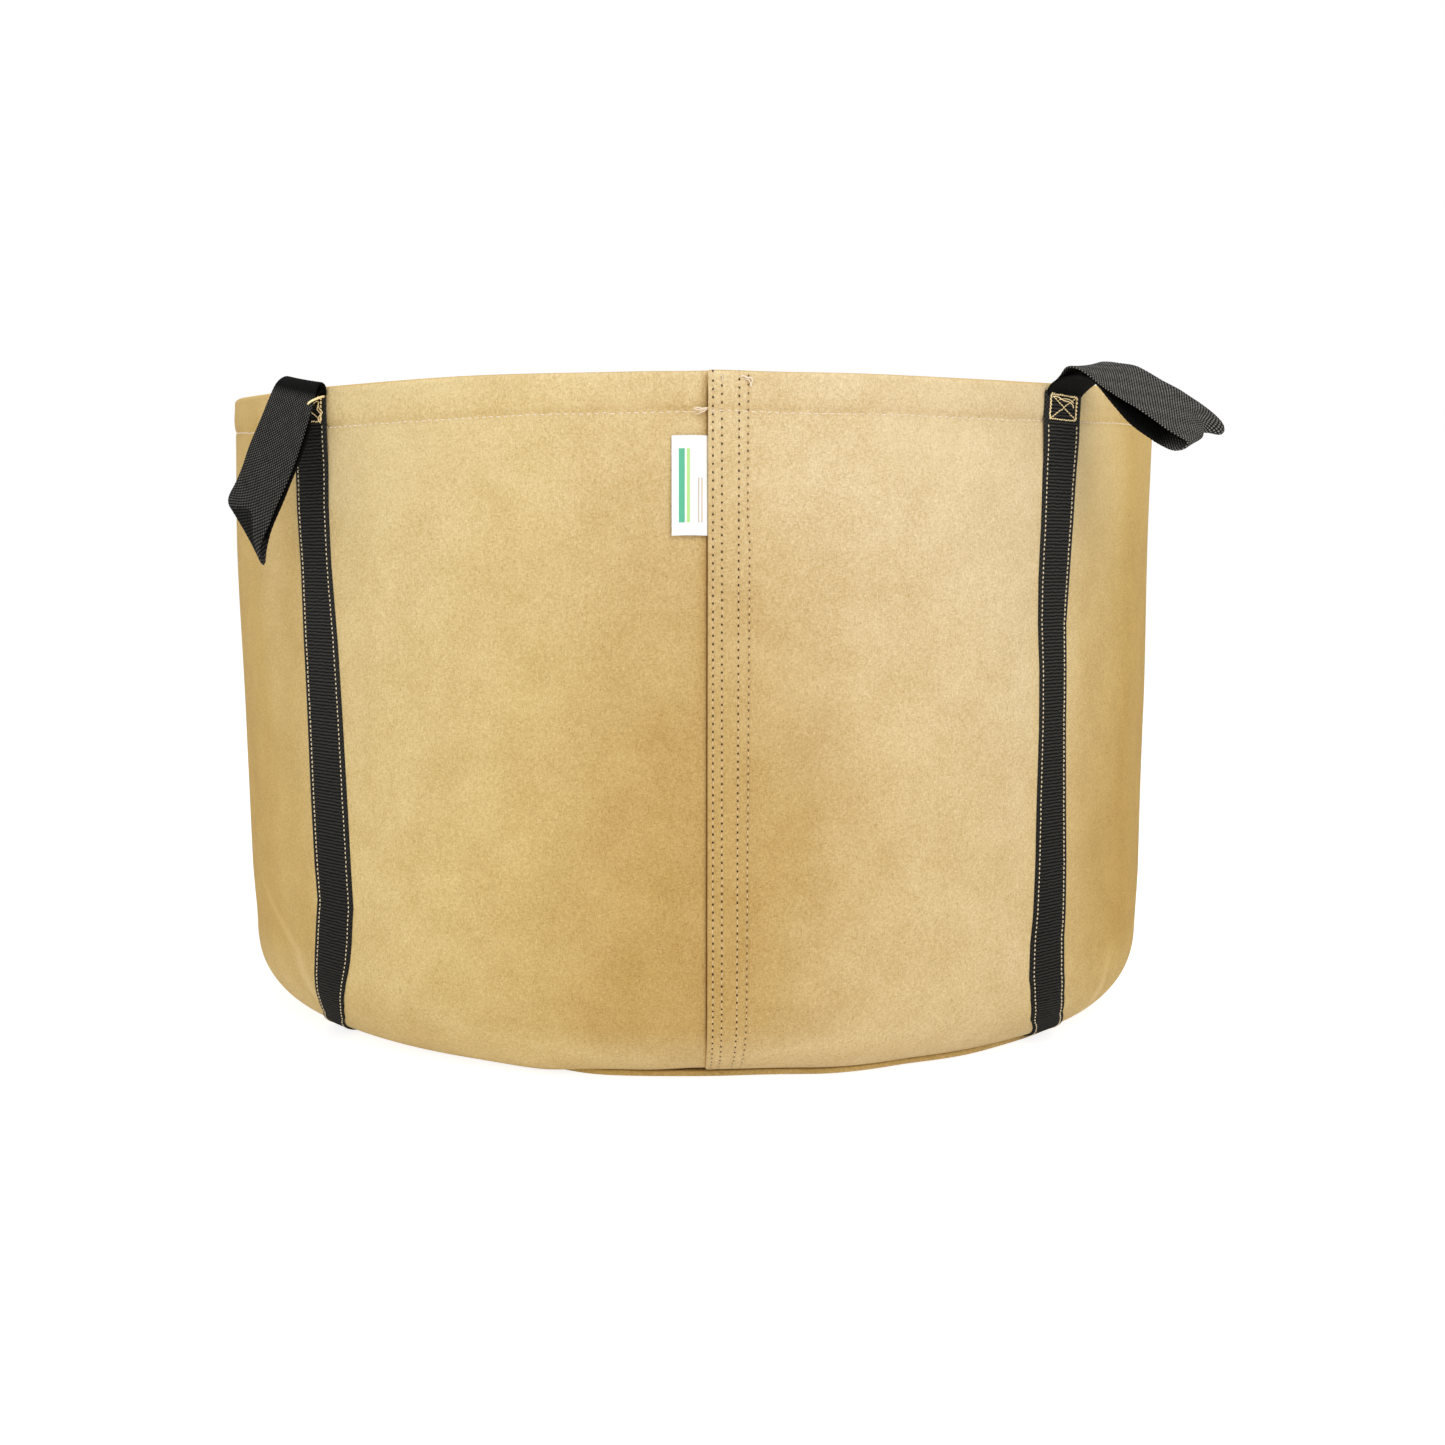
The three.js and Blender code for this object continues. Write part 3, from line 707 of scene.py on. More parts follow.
# ---------------------------------------------------------------- webbing
def ribbed_material(name):
    """Ribbed webbing with a checked selvedge: u across, v along."""
    shader = Shader(name)
    uv = shader.coords("UV")
    place = shader.coords("Object")
    u, v = shader.separate(uv)[:2]
    uneven = shader.spread(shader.noise(uv, scale=170, detail=3, rough=0.6), gain=0.0024)
    rib = shader.raised(shader.wave("COSINE", shader.add(v, uneven), length=0.00255))
    yarn = shader.raised(shader.wave("SINE", u, length=0.0011))
    from_middle = shader.math("ABSOLUTE", shader.sub(u, WEB_W / 2000))
    edge = shader.ramp(from_middle, start=0.0182, end=0.0190)
    checks = shader.raised(shader.mul(shader.wave("SINE", u, length=0.0030),
                                      shader.wave("COSINE", v, length=0.0035)))
    grain = shader.streaks(uv, (900, 350, 1), detail=3, rough=0.6, distort=0.4)
    ribs = shader.mul(shader.math("POWER", rib, 1.2), shader.gain_add(yarn, gain=0.3, offset=0.7))
    ribs = shader.mul(ribs, shader.gain_add(grain, gain=0.9, offset=0.5))
    checks = shader.mul(checks, shader.gain_add(grain, gain=0.8, offset=0.4))
    relief = shader.node("ShaderNodeMix", {0: edge, 2: ribs, 3: checks},
                         data_type="FLOAT").outputs[0]
    colour = shader.mix(shader.mul(relief, 1.0, clamp=True), srgb(14, 14, 13), srgb(70, 69, 65))
    z = shader.separate(place)[2]
    colour = shader.tint(shader.ramp(z, start=0.36, end=0.12, high=0.55), colour, (0.5, 0.5, 0.5))
    dust = shader.ramp(shader.noise(place, scale=900, detail=2, rough=0.7), start=0.70, end=0.76)
    colour = shader.mix(shader.mul(dust, gain=0.12), colour, srgb(150, 146, 132))
    return shader.finish(colour, shader.bump(relief, distance=0.0005, strength=0.5),
                         Roughness=0.75, Specular_IOR_Level=0.07)


def weave_material(name):
    """Coarse diagonal basket weave; the shade attribute darkens it."""
    dark, bright = srgb(14, 14, 13), srgb(140, 138, 133)
    pitch = 0.0019
    shader = Shader(name)
    uv = shader.coords("UV")
    warp = shader.noise(uv, scale=60, detail=2)
    across, along = shader.separate(uv)[:2]
    across = shader.add(across, shader.spread(warp, gain=0.0012))
    along = shader.add(along, shader.spread(warp, gain=0.0009))
    diagonal = shader.mul(shader.add(across, along), 0.7071)
    counter = shader.mul(shader.sub(across, along), 0.7071)
    knuckle = shader.math("ABSOLUTE", shader.mul(
        shader.wave("SINE", diagonal, length=2 * pitch),
        shader.wave("SINE", counter, length=2 * pitch)))
    grain = shader.noise(uv, scale=620, detail=3, rough=0.65)
    patches = shader.noise(uv, scale=130, detail=2, rough=0.6)
    relief = shader.ramp(knuckle, start=0.28, end=0.82)
    relief = shader.mul(relief, shader.gain_add(grain, gain=1.5, offset=0.18))
    relief = shader.mul(relief, shader.gain_add(patches, gain=0.9, offset=0.5), clamp=True)
    lit = shader.sub(1.0, shader.shade(), clamp=True)
    colour = shader.mix(shader.mul(relief, shader.gain_add(lit, gain=0.97, offset=0.03)),
                        shader.mix(lit, scaled(dark, 0.55), dark), bright)
    return shader.finish(colour, shader.bump(relief, distance=0.0006, strength=0.8),
                         Roughness=0.75, Specular_IOR_Level=0.07)


# ---------------------------------------------------------------- thread and tag
def thread_material(name, base, dark, **glow):
    shader = Shader(name)
    place = shader.coords("Object")
    twist = shader.streaks(place, (1600, 1600, 2600), detail=2, rough=0.6, distort=0.5)
    patches = shader.noise(place, scale=120, detail=2)
    colour = shader.mix(shader.ramp(twist, start=0.35, end=0.62), dark, base)
    amount = shader.mul(shader.ramp(patches, start=0.4, end=0.7), gain=0.35)
    colour = shader.mix(amount, colour, scaled(base, 0.8))
    return shader.finish(colour, shader.bump(twist, distance=0.0002, strength=0.7),
                         Roughness=0.55, Sheen_Weight=0.2, **glow)


def tag_material(name):
    """White satin tape with plain printed stripes: u across, v up."""
    shader = Shader(name)
    u, v = shader.separate(shader.coords("UV"))[:2]

    def bar(value, start, end, soft=0.00012):
        return shader.mul(shader.ramp(value, start - soft, start + soft),
                          shader.ramp(value, end - soft, end + soft, low=1, high=0))

    tall = bar(v, 0.009, 0.060)
    colour = shader.mix(0.0, srgb(250, 251, 250), (1, 1, 1))
    for left, right, stripe in ((0.0050, 0.0092, srgb(88, 190, 150)),
                                (0.0106, 0.0128, srgb(186, 232, 140))):
        colour = shader.mix(shader.mul(bar(u, left, right), tall), colour, stripe)
    for left, right in ((0.0186, 0.0192), (0.0208, 0.0214)):
        line = shader.mul(bar(u, left, right), bar(v, 0.009, 0.040))
        colour = shader.mix(line, colour, srgb(190, 150, 118))
    satin = shader.add(shader.wave("SINE", v, length=0.0005),
                       shader.wave("SINE", u, length=0.0005))
    return shader.finish(colour, shader.bump(satin, distance=0.00004, strength=0.5),
                         Roughness=0.5, Sheen_Weight=0.1)


WALL_FELT = felt_material("felt_wall", srgb(246, 225, 184), srgb(209, 177, 121), seamed=True)
BASE_FELT = felt_material("felt_base", srgb(238, 208, 146), srgb(200, 167, 103), seamed=False)
RIBBED = ribbed_material("ribbed_webbing")
WEAVE = weave_material("handle_webbing")
CREAM = thread_material("cream_thread", srgb(252, 236, 202), srgb(224, 192, 142))
PALE = thread_material("pale_thread", srgb(252, 238, 218), srgb(236, 210, 172))
TAN = thread_material("tan_thread", srgb(244, 220, 172), srgb(206, 172, 116))
# painted light: the gold thread glows a little, lifting it out of the handle's shadow
GLOWING_GOLD = thread_material("gold_thread", srgb(255, 244, 200), srgb(250, 212, 146),
                       Emission_Color=(1.0, 0.66, 0.26, 1), Emission_Strength=0.2)
TAG_TAPE = tag_material("tag_tape")

# ---------------------------------------------------------------- wall panel
PATH = sheet_path()
PATH_LENGTH = np.concatenate(
    [[0], np.cumsum(np.hypot(np.diff(PATH[:, 0]), np.diff(PATH[:, 1])))])
WALL_LAST = np.where((PATH[:, 2] > 0.999) & (PATH[:, 1] >= CORNER_Z - 0.01))[0][-1]
# once round and on beneath the seam, finer near it
WALL_ANGLES = np.concatenate([
    np.arange(SEAM_START, 12.0, 0.13), np.arange(12.0, 350.0, 0.55),
    np.arange(350.0, LAP_EDGE - 0.6, 0.4), np.arange(LAP_EDGE - 0.6, 360 + SEAM_END + 0.01, 0.2)])


def seam_relief(angle, along):
    """Relief of the outer side near the seam: band, lifted edge, stitch rows and holes."""
    relief = band_lift(angle) + 0.5 * bell(angle - SEAM_START, 0.25)
    for i in range(4):
        across = (angle - row_angle(i, along)) * DEG * UNROLL_R
        relief -= ROW_DEPTH[i] * bell(across, ROW_WIDTH[i])
        step = (along - FIRST_HOLE[i]) / SEAM_PITCH
        hole = bell((step - np.round(step)) * SEAM_PITCH, 0.85)
        relief -= 0.7 * hole * bell(across, 0.75)
    return relief


def wall_shade(angle, z, normal_r):
    """The felt's shade attribute; see felt_material."""
    outside = normal_r > 0.5
    tone = np.zeros(angle.shape)
    # painted shade spots over the wall
    for entry in SHADE_SPOTS:
        tone = tone + spot(angle, z, *entry)
    tone = np.clip(tone, 0, 1)
    # painted shade just above the hem row
    tone = (tone + 0.28 * bell(z - HEM_Z - 2.2, 2.2) * outside
            + 0.14 * bell(z - HEM_Z - 7, 6.0) * outside)
    # painted shadow beside the seam's outer edge, and a dark painted shadow line along it
    tone = np.clip(tone + 0.5 * bell(LAP_EDGE - angle, 0.8) * (angle < LAP_EDGE + 0.4), 0, 1)
    tone = tone + (1.5 * bell(LAP_EDGE + 0.05 - angle, 0.16)
                   * (1 - ease(z, RIM_Z - 12, RIM_Z - 4)))
    # painted light: paler on the foot, lit from the floor, on the upper wall, beside both front
    # straps where the handle's shadow and the edge-on shade fall, and along the rim
    tone = np.maximum(tone - 0.9 * (1 - ease(z, 14, 46)) * (normal_r > -0.5), 0)
    tone = (tone - 0.15 * ease(z, 385, 455) * outside
            - 0.20 * gauss(angle_gap(angle, -62), 7.0) * ease(z, 20, 80) * outside)
    tone = tone - 0.26 * gauss(angle_gap(angle, 51), 5.0) * ease(z, 340, 430) * outside
    tone = tone - 0.55 * bell(z - RIM_Z, 2.2)
    # painted highlights along folds low on the wall, easing the painted shade around them
    for heights, angles, strength, width in HIGHLIGHT_STREAKS:
        window = (ease(z, heights[0] - 8, heights[0] + 12)
                  * (1 - ease(z, heights[-1] - 30, heights[-1])) * (normal_r > -0.5))
        gap = angle_gap(angle, np.interp(z, heights, angles))
        tone = (tone * (1 - 0.6 * window * gauss(gap, 2.5 * width))
                - strength * window * gauss(gap, width))
    return tone


def make_wall():
    """Builds the wall and returns its outer grid of points."""
    angle, index = np.meshgrid(WALL_ANGLES, np.arange(len(PATH)), indexing="ij")
    path_r, path_z, normal_r, normal_z = (PATH[index, i] for i in range(4))
    along = PATH_LENGTH[index]
    half = FELT / 2
    foot = path_z < CORNER_Z
    relief = seam_relief(angle, along) * (index <= WALL_LAST + 6) * ease(path_z, 3, 20)
    sink = lap_sink(angle, path_z) * (0.45 + 0.55 * ease(path_z, 4, 40))
    # the hem is pressed in along its stitch row and swells above it
    hem = (-1.2 * bell(path_z - HEM_Z, 1.7) * (normal_r > 0.5)
           + 0.9 * bell(path_z - HEM_Z - 10, 7.0) * (normal_r > 0.5))
    # the foot's shape is that of its outer face
    radius, z = foot_shape(angle, np.where(foot, path_r + half * normal_r, path_r),
                           np.where(foot, path_z + half * normal_z, path_z))
    radius = np.where(foot, radius - half * normal_r, path_r)
    z = np.where(foot, z - half * normal_z, path_z)
    radius = radius + foot_dent(angle, path_z) * 1.0 + hem
    z = (z + rim_rise(angle) * ease(path_z, 400, HEM_Z - 4)
         + hem_drop(angle) * bell(path_z - HEM_Z, 14.0))
    radius = radius - sink * np.where(foot, normal_r, 1.0)
    z = z - np.where(foot, sink * normal_z, 0.0)
    # the sheet thins to a rounded edge all round
    thick = np.full(angle.shape, half)
    for from_edge in ((angle - WALL_ANGLES[0]) * DEG * UNROLL_R,
                      (WALL_ANGLES[-1] - angle) * DEG * UNROLL_R,
                      along, PATH_LENGTH[-1] - along):
        part = np.clip(from_edge / 1.6, 0, 1)
        thick *= 0.45 + 0.55 * np.sqrt(np.clip(1 - (1 - part) ** 2, 0, 1))
    outer = polar(angle, radius + (thick + relief) * normal_r, z + thick * normal_z)
    inner = polar(angle, radius - thick * normal_r, z - thick * normal_z)
    uv = np.stack([angle * DEG * (UNROLL_R / 1000), along * 0.001], -1)
    closed_sheet("felt_wall", outer, inner, WALL_FELT, ["wall_panel"], uv,
                 wall_shade(angle, path_z, normal_r))
    return outer


# ---------------------------------------------------------------- base panel
def make_base():
    """Felt disc, flat underneath, with soft hollows inside and a wavy edge."""
    rings = 46
    profile = [(r, 4.3) for r in np.linspace(2, BASE_R - 1.1, rings)]
    profile += [(BASE_R - 0.35, 4.05), (BASE_R, 3.4), (BASE_R + 0.15, 2.2), (BASE_R, 1.0),
                (BASE_R - 0.3, 0.3)]
    profile += [(r, 0.0) for r in np.linspace(BASE_R - 1.1, 2, rings)]
    profile = np.array(profile)
    angle, index = np.meshgrid(np.linspace(0, 360, 360, endpoint=False),
                               np.arange(len(profile)), indexing="ij")
    radius, z = profile[index, 0], profile[index, 1]
    wobble = (0.7 * np.sin(9 * angle * DEG + 0.4) + 0.5 * np.sin(23 * angle * DEG)
              - 1.8 * bell(angle_gap(angle, 15.3), 0.3))
    radius = radius + ((0.4 * wobble + lip_radius(angle) - 8.5 * tuck(angle) - BASE_R)
                       * ease(radius, BASE_R - 60, BASE_R - 2))
    hollows = (0.25 * np.sin(radius * 0.045 + 2 * np.sin(3 * angle * DEG))
               * ease(radius, 320, 280))
    verts = polar(angle, radius, np.where(index < rings, z + hollows, z))
    rows, columns = verts.shape[:2]
    faces = [list(face) for face in grid_faces(rows, columns, wrap_rows=True)]
    faces.append([i * columns for i in range(rows)])
    faces.append([i * columns + columns - 1 for i in reversed(range(rows))])
    build("felt_base", verts.reshape(-1, 3), faces, BASE_FELT, ["base_panel"])


wall_grid = make_wall()
make_base()


# ---------------------------------------------------------------- stitches in the felt
def side_seam_row(i):
    """Short stitches between the needle holes of row i."""
    path_z = outside_path(RIM_Z - 5.0, step=0.5, last_turn=14)[:, 1]
    # length along the sheet at the same heights
    column = int(np.argmin(np.abs(WALL_ANGLES - ROWS_LOW[i])))
    sheet_z = np.maximum.accumulate(wall_grid[column, 6:WALL_LAST + 1, 2])
    along = np.interp(path_z, sheet_z, PATH_LENGTH[6:WALL_LAST + 1])
    steps = (along - FIRST_HOLE[i]) / SEAM_PITCH
    runs = []
    for step in np.arange(math.ceil(steps.min() + 0.2), math.floor(steps.max() - 0.1)):
        heights, angles, ends = [], [], []
        for part in (step + 0.17, step + 0.83):
            z = float(np.interp(part, steps[::-1], path_z[::-1]))
            angle = float(row_angle(i, np.interp(-z, -path_z, along)))
            radius = wall_outer(angle, z) + (band_lift(angle) - ROW_DEPTH[i]) * ease(z, 3, 20)
            heights.append(z)
            angles.append(angle)
            ends.append(polar(angle, radius, z))
        normal = polar(angles[0], 1.0, 0.0)
        z_middle = sum(heights) / 2
        if z_middle < CORNER_Z:
            down = min(1, (CORNER_Z - z_middle) / (CORNER_Z - LAP_Z))
            normal = normal * math.sqrt(1 - down * down) - np.array([0, 0, down])
        runs.append((ends[1], ends[0], normal))
    stitches(f"seam_stitches_{i + 1}", runs, TAN, f"side_seam_thread_{i + 1}",
             radius=0.36, lift=0.16, sink=0.5)


# Loose ends at the side seam: thread radius, then points of angle, distance out, z.
# The first group is measured from the hem row, the second from the wall just below the rim.
HEM_TAILS = [
    (0.55, [(1.15, 0.9, 0.9), (1.6, 2.0, 1.7), (2.0, 2.4, 1.0), (2.58, 2.6, 1.6)]),
    (0.42, [(2.56, 2.6, 0.9), (2.2, 2.0, -0.9), (1.5, 1.6, -2.9)]),
    (0.45, [(1.3, 1.0, 0.5), (1.9, 2.0, 0.1), (2.52, 2.4, 1.0)]),
]
RIM_TAILS = [
    (0.6, [(5.7, 0, 509.0), (6.0, 1.0, 509.6), (6.4, 1.4, 508.4), (6.78, 1.2, 508.2),
           (6.86, 0.9, 505.6), (6.72, 0.7, 503.6), (6.9, 0.4, 501.8)]),
    (0.45, [(6.1, 0.4, 507.6), (6.5, 1.0, 506.9), (6.7, 1.0, 504.9), (6.84, 0.3, 502.6)]),
    (0.42, [(3.9, 0.2, 510.4), (3.96, 0.4, 508.2), (3.94, 0, 505.8)]),
]


def hem_row():
    pitch = 5.6 / (DEG * 405)
    runs = []
    for angle in np.arange(SEAM_START + 0.15, LAP_EDGE - 0.35, pitch):
        z = HEM_Z - 0.6 + 0.25 * math.sin(angle * 0.35) + 0.15 * math.sin(angle * 1.7 + 1)
        rise = rim_rise(angle) + hem_drop(angle)
        start, end = (
            polar(side, wall_outer(side, z) + band_lift(side) - lap_sink(side, HEM_Z) + 0.15,
                  z + rise)
            for side in (angle + 0.09 * pitch, angle + 0.72 * pitch))
        runs.append((start, end, polar(angle, 1.0, 0.0)))
    tails = []
    for table, radius0, z0 in (
            (HEM_TAILS, float(wall_radius(HEM_Z)) - 3.0, HEM_Z + float(rim_rise(1.5))),
            (RIM_TAILS, float(wall_radius(505)) + 1.5, 0.0)):
        for thread_radius, points in table:
            tails.append(tube([polar(angle, radius0 + out, z0 + z) for angle, out, z in points],
                              thread_radius))
    stitches("hem_stitches", runs, PALE, "hem_thread",
             radius=0.52, lift=0.42, sink=0.5, extra=tails)


def base_seam_row():
    """Inside the bag, on the turned-in lap."""
    row_r = 327.0
    count = int(2 * math.pi * row_r / 6.0)
    z = LAP_Z + FELT + 0.05
    runs = []
    for i in range(count):
        angle = 360 * i / count
        runs.append((polar(angle, row_r, z), polar(angle + 0.68 * 360 / count, row_r, z),
                     np.array([0, 0, 1.0])))
    stitches("base_seam_stitches", runs, CREAM, "base_seam_thread",
             radius=0.45, lift=0.35, sink=0.4)


for row in range(4):
    side_seam_row(row)
hem_row()
base_seam_row()

# ---------------------------------------------------------------- ribbed straps
# Edges of the two front straps: heights, left edge angles, right edge angles
STRAP_EDGES = {
    "front_left": (
        [515, 469, 426, 380, 322, 251, 193, 145, 118, 90, 74, 60, 48, 33, 22, 10, 0],
        [-47.65, -47.75, -47.9, -47.5, -47.6, -47.4, -47.25, -47.0, -46.6, -47.6, -48.1, -48.3,
         -48.5, -49.2, -50.4, -54.6, -57.6],
        [-41.1, -41.2, -41.45, -41.35, -40.75, -40.3, -39.95, -39.7, -39.5, -40.2, -40.75, -41.4,
         -42.1, -43.5, -45.3, -49.0, -52.0]),
    "front_right": (
        [515, 505, 490, 457, 413, 369, 335, 301, 256, 198, 152, 117, 92, 63, 45, 27, 9, 0],
        [40.75, 40.7, 40.6, 40.85, 40.8, 40.5, 40.5, 40.85, 41.0, 41.0, 41.1, 41.0, 40.8, 41.0,
         41.8, 43.3, 47.0, 48.6],
        [47.1, 47.05, 46.95, 46.95, 46.6, 46.0, 45.5, 45.65, 45.75, 46.25, 46.7, 46.9, 47.0, 47.5,
         48.2, 49.8, 53.4, 55.0]),
}
STRAP_GAP = 0.15                           # between strap and felt
STITCH_PLACES = {"front_right": (4.2, 41.6)}      # mm across the strap
OTHER_STITCH_PLACES = (6.2, 44.2)
# Last rows, over the edge of the base: distance from the lip, z, normal r, normal z
STRAP_TAIL = [(0.0, 3.4, 0.55, -0.83), (-1.0, 2.0, 0.85, -0.5), (-1.4, 0.9, 0.97, -0.2)]
STRAP_PATH = outside_path(STRAP_TOP, step=0.55, last_turn=10)
STRAP_LENGTH = np.concatenate(
    [[0], np.cumsum(np.hypot(np.diff(STRAP_PATH[:, 0]), np.diff(STRAP_PATH[:, 1])))])


def strap_edges(place, z):
    if place in STRAP_EDGES:
        heights, left, right = STRAP_EDGES[place]
        return np.interp(z, heights[::-1], left[::-1]), np.interp(z, heights[::-1], right[::-1])
    middle = STRAPS[place]
    z = np.asarray(z, float)
    sway = 0.35 * np.sin(z * 0.013 + middle) + 0.15 * np.sin(z * 0.031 + 1)
    return middle - 3.35 + sway, middle + 3.35 + sway


def strap_angle(place, across, z):
    """Angle of a place given in mm across the strap."""
    low, high = strap_edges(place, z)
    return low + (high - low) * across / WEB_W


def strap_lift(angle, z):
    """Strap's back face from the plain wall; it steps out over the loop's sewn ends."""
    step_out = 1.3 * ease(z, ANCHOR_LOW - 30, ANCHOR_LOW + 4)
    return STRAP_GAP + step_out + foot_dent(angle, z)


def strap_lip(angle):
    return lip_radius(angle) - 1.5 * tuck(angle) + 0.3


def strap_foot(angle, radius, z):
    """The strap follows the foot of the wall and goes on over the edge of the base."""
    z = np.asarray(z, float)
    new_radius, new_z = foot_shape(angle, radius, z)
    over = 1 - ease(z, 2.2, LAP_Z + 1.2)
    return new_radius * (1 - over) + strap_lip(angle) * over, np.where(z < LAP_Z, z, new_z)


def strap_sheet(place):
    parts = np.linspace(0, 1, 33)
    radius, z, normal_r, normal_z = STRAP_PATH.T
    rows = len(z) + len(STRAP_TAIL)
    outer = np.zeros((rows, len(parts), 3))
    inner = np.zeros_like(outer)
    uv = np.zeros((rows, len(parts), 2))
    main = slice(0, len(z))
    low, high = strap_edges(place, z)
    rib = 0.5 + 0.5 * np.cos(2 * math.pi * STRAP_LENGTH / 2.55)
    for j, part in enumerate(parts):
        angle = low + (high - low) * part
        across = part * WEB_W
        from_middle = abs(across - WEB_W / 2)
        lift = strap_lift(angle, z)
        foot_r, foot_z = strap_foot(angle, radius, z)
        selvedge = ease(from_middle, 18.6, 19.6)
        check = 0.5 + 0.5 * np.cos(2 * math.pi * STRAP_LENGTH / 2.4 + (math.pi if j % 2 else 0))
        relief = 0.24 * rib * (1 - selvedge) + selvedge * (0.16 + 0.22 * check)
        # the stitch rows pull the webbing down; its edges are rounded
        groove = 0.35 * math.exp(-((from_middle - 17.5) / 1.0) ** 2)
        thick = 1.2 + relief - groove - 1.25 * ease(from_middle, 21.6, 24.0)
        outer[main, j] = polar(angle, foot_r + (lift + thick) * normal_r,
                               foot_z + (STRAP_GAP + thick) * normal_z)
        inner[main, j] = polar(angle, foot_r + lift * normal_r, foot_z + STRAP_GAP * normal_z)
        uv[main, j, 0] = across * 0.001
        uv[main, j, 1] = STRAP_LENGTH * 0.001
    low, high = strap_edges(place, 0.0)
    angle = low + (high - low) * parts
    for i, (inset, tail_z, tail_nr, tail_nz) in enumerate(STRAP_TAIL):
        k = len(z) + i
        tail_r = strap_lip(angle) + inset
        outer[k] = polar(angle, tail_r + 0.9 * tail_nr, tail_z + 0.9 * tail_nz * 0.6)
        inner[k] = polar(angle, tail_r - 0.8 * tail_nr, tail_z - 0.8 * tail_nz * 0.6)
        uv[k, :, 0] = parts * (WEB_W / 1000)
        uv[k, :, 1] = (STRAP_LENGTH[-1] + 2.0 * (i + 1)) * 0.001
    outer[..., 2] = np.maximum(outer[..., 2], 0.3)
    closed_sheet(f"webbing_strap_{place}", outer, inner, RIBBED,
                 [f"strap_{place}"], uv)


def strap_row(place, hand, across):
    first = STRAP_TOP - 484.0
    runs = []
    for along in np.arange(first, STRAP_LENGTH[-1] - 3, 3.5):
        ends = []
        for mark in (along + 0.3, along + 2.75):
            radius, z, normal_r, normal_z = (
                np.interp(mark, STRAP_LENGTH, column) for column in STRAP_PATH.T)
            angle = strap_angle(place, across, z)
            foot_r, foot_z = strap_foot(angle, radius, z)
            ends.append(polar(angle, foot_r + (strap_lift(angle, z) + 1.15) * normal_r,
                              foot_z + (STRAP_GAP + 1.15) * normal_z))
        runs.append((*ends, polar(angle, normal_r, normal_z)))
    stitches(f"strap_stitches_{hand}_{place}", runs, CREAM,
             f"strap_thread_{hand}_{place}", radius=0.52, lift=0.36, sink=0.5, jitter=0.08)


for strap in STRAPS:
    strap_sheet(strap)
    for hand, across in zip(("left", "right"), STITCH_PLACES.get(strap, OTHER_STITCH_PLACES)):
        strap_row(strap, hand, across)


# ---------------------------------------------------------------- box and cross tacks
def strap_point(place, across, z, lift=0.0):
    angle = strap_angle(place, across, z)
    return polar(angle, wall_radius(z) + strap_lift(angle, z) + 1.3 + lift, z)


def strap_axes(place):
    """Unit vectors out from the strap and sideways, towards growing angles."""
    turn = STRAPS[place] * DEG
    return (np.array([math.sin(turn), -math.cos(turn), 0]),
            np.array([math.cos(turn), math.sin(turn), 0]))


# Loose threads on the tacks: thread radius, then points of mm across, z, lift
LOOSE_THREADS = {
    "front_right": [
        (0.42, [(9, 504.5, 0.5), (14, 504.0, 1.0), (21, 501.8, 1.2), (28, 501.2, 1.1),
                (34, 499.0, 0.7), (35.5, 497.0, 0.4)]),
        (0.36, [(16, 502.2, 0.5), (22, 503.2, 1.1), (30, 502.6, 1.0), (35, 500.5, 0.6)]),
    ],
    "front_left": [
        (0.4, [(39.5, 499, 0.8), (43.5, 496, 1.6), (46.5, 493, 1.4), (43.0, 490.5, 1.7),
               (41.0, 488, 1.2), (43.5, 485.5, 0.9)]),
        (0.55, [(29.0, 499.6, 0.5), (32.0, 501.0, 1.5), (40.0, 503.6, 1.7), (46.5, 504.6, 1.2),
                (47.6, 504.2, 0.3)]),
        (0.36, [(40.5, 502, 0.8), (42.0, 499.0, 1.5), (40.0, 496.0, 1.4), (44.5, 492.0, 1.5),
                (42.5, 486.5, 0.8)]),
    ],
}
# A thick strand off the front left strap: mm sideways, mm out from the rim, z
STRAND = [(20.0, 15.2, 498.4), (22.5, 15.0, 500.0), (24.6, 11.5, 502.2), (24.0, 6.0, 504.2),
          (20.5, 0.6, 505.4), (19.0, -4.0, 506.4)]


def tack_line(place, start, end, pitch=2.75, skew=0.0, offset=0.0):
    """Stitches from start to end, both (mm across, z), each a little askew."""
    length = math.hypot(end[0] - start[0], end[1] - start[1])
    count = max(2, int(round(length / pitch)))
    step_x, step_z = (end[0] - start[0]) / count, (end[1] - start[1]) / count
    step = math.hypot(step_x, step_z)
    side_x, side_z = -step_z / step, step_x / step
    runs = []
    for i in range(count):
        shift = offset + rng.normal(0, 0.1)
        ends = [(start[0] + step_x * (i + part) + side_x * aside,
                 start[1] + step_z * (i + part) + side_z * aside)
                for part, aside in ((0.06, shift - skew), (0.92, shift + skew))]
        normal = polar(strap_angle(place, *ends[0]), 1.0, 0.0)
        runs.append((strap_point(place, *ends[0]), strap_point(place, *ends[1]), normal))
    return runs


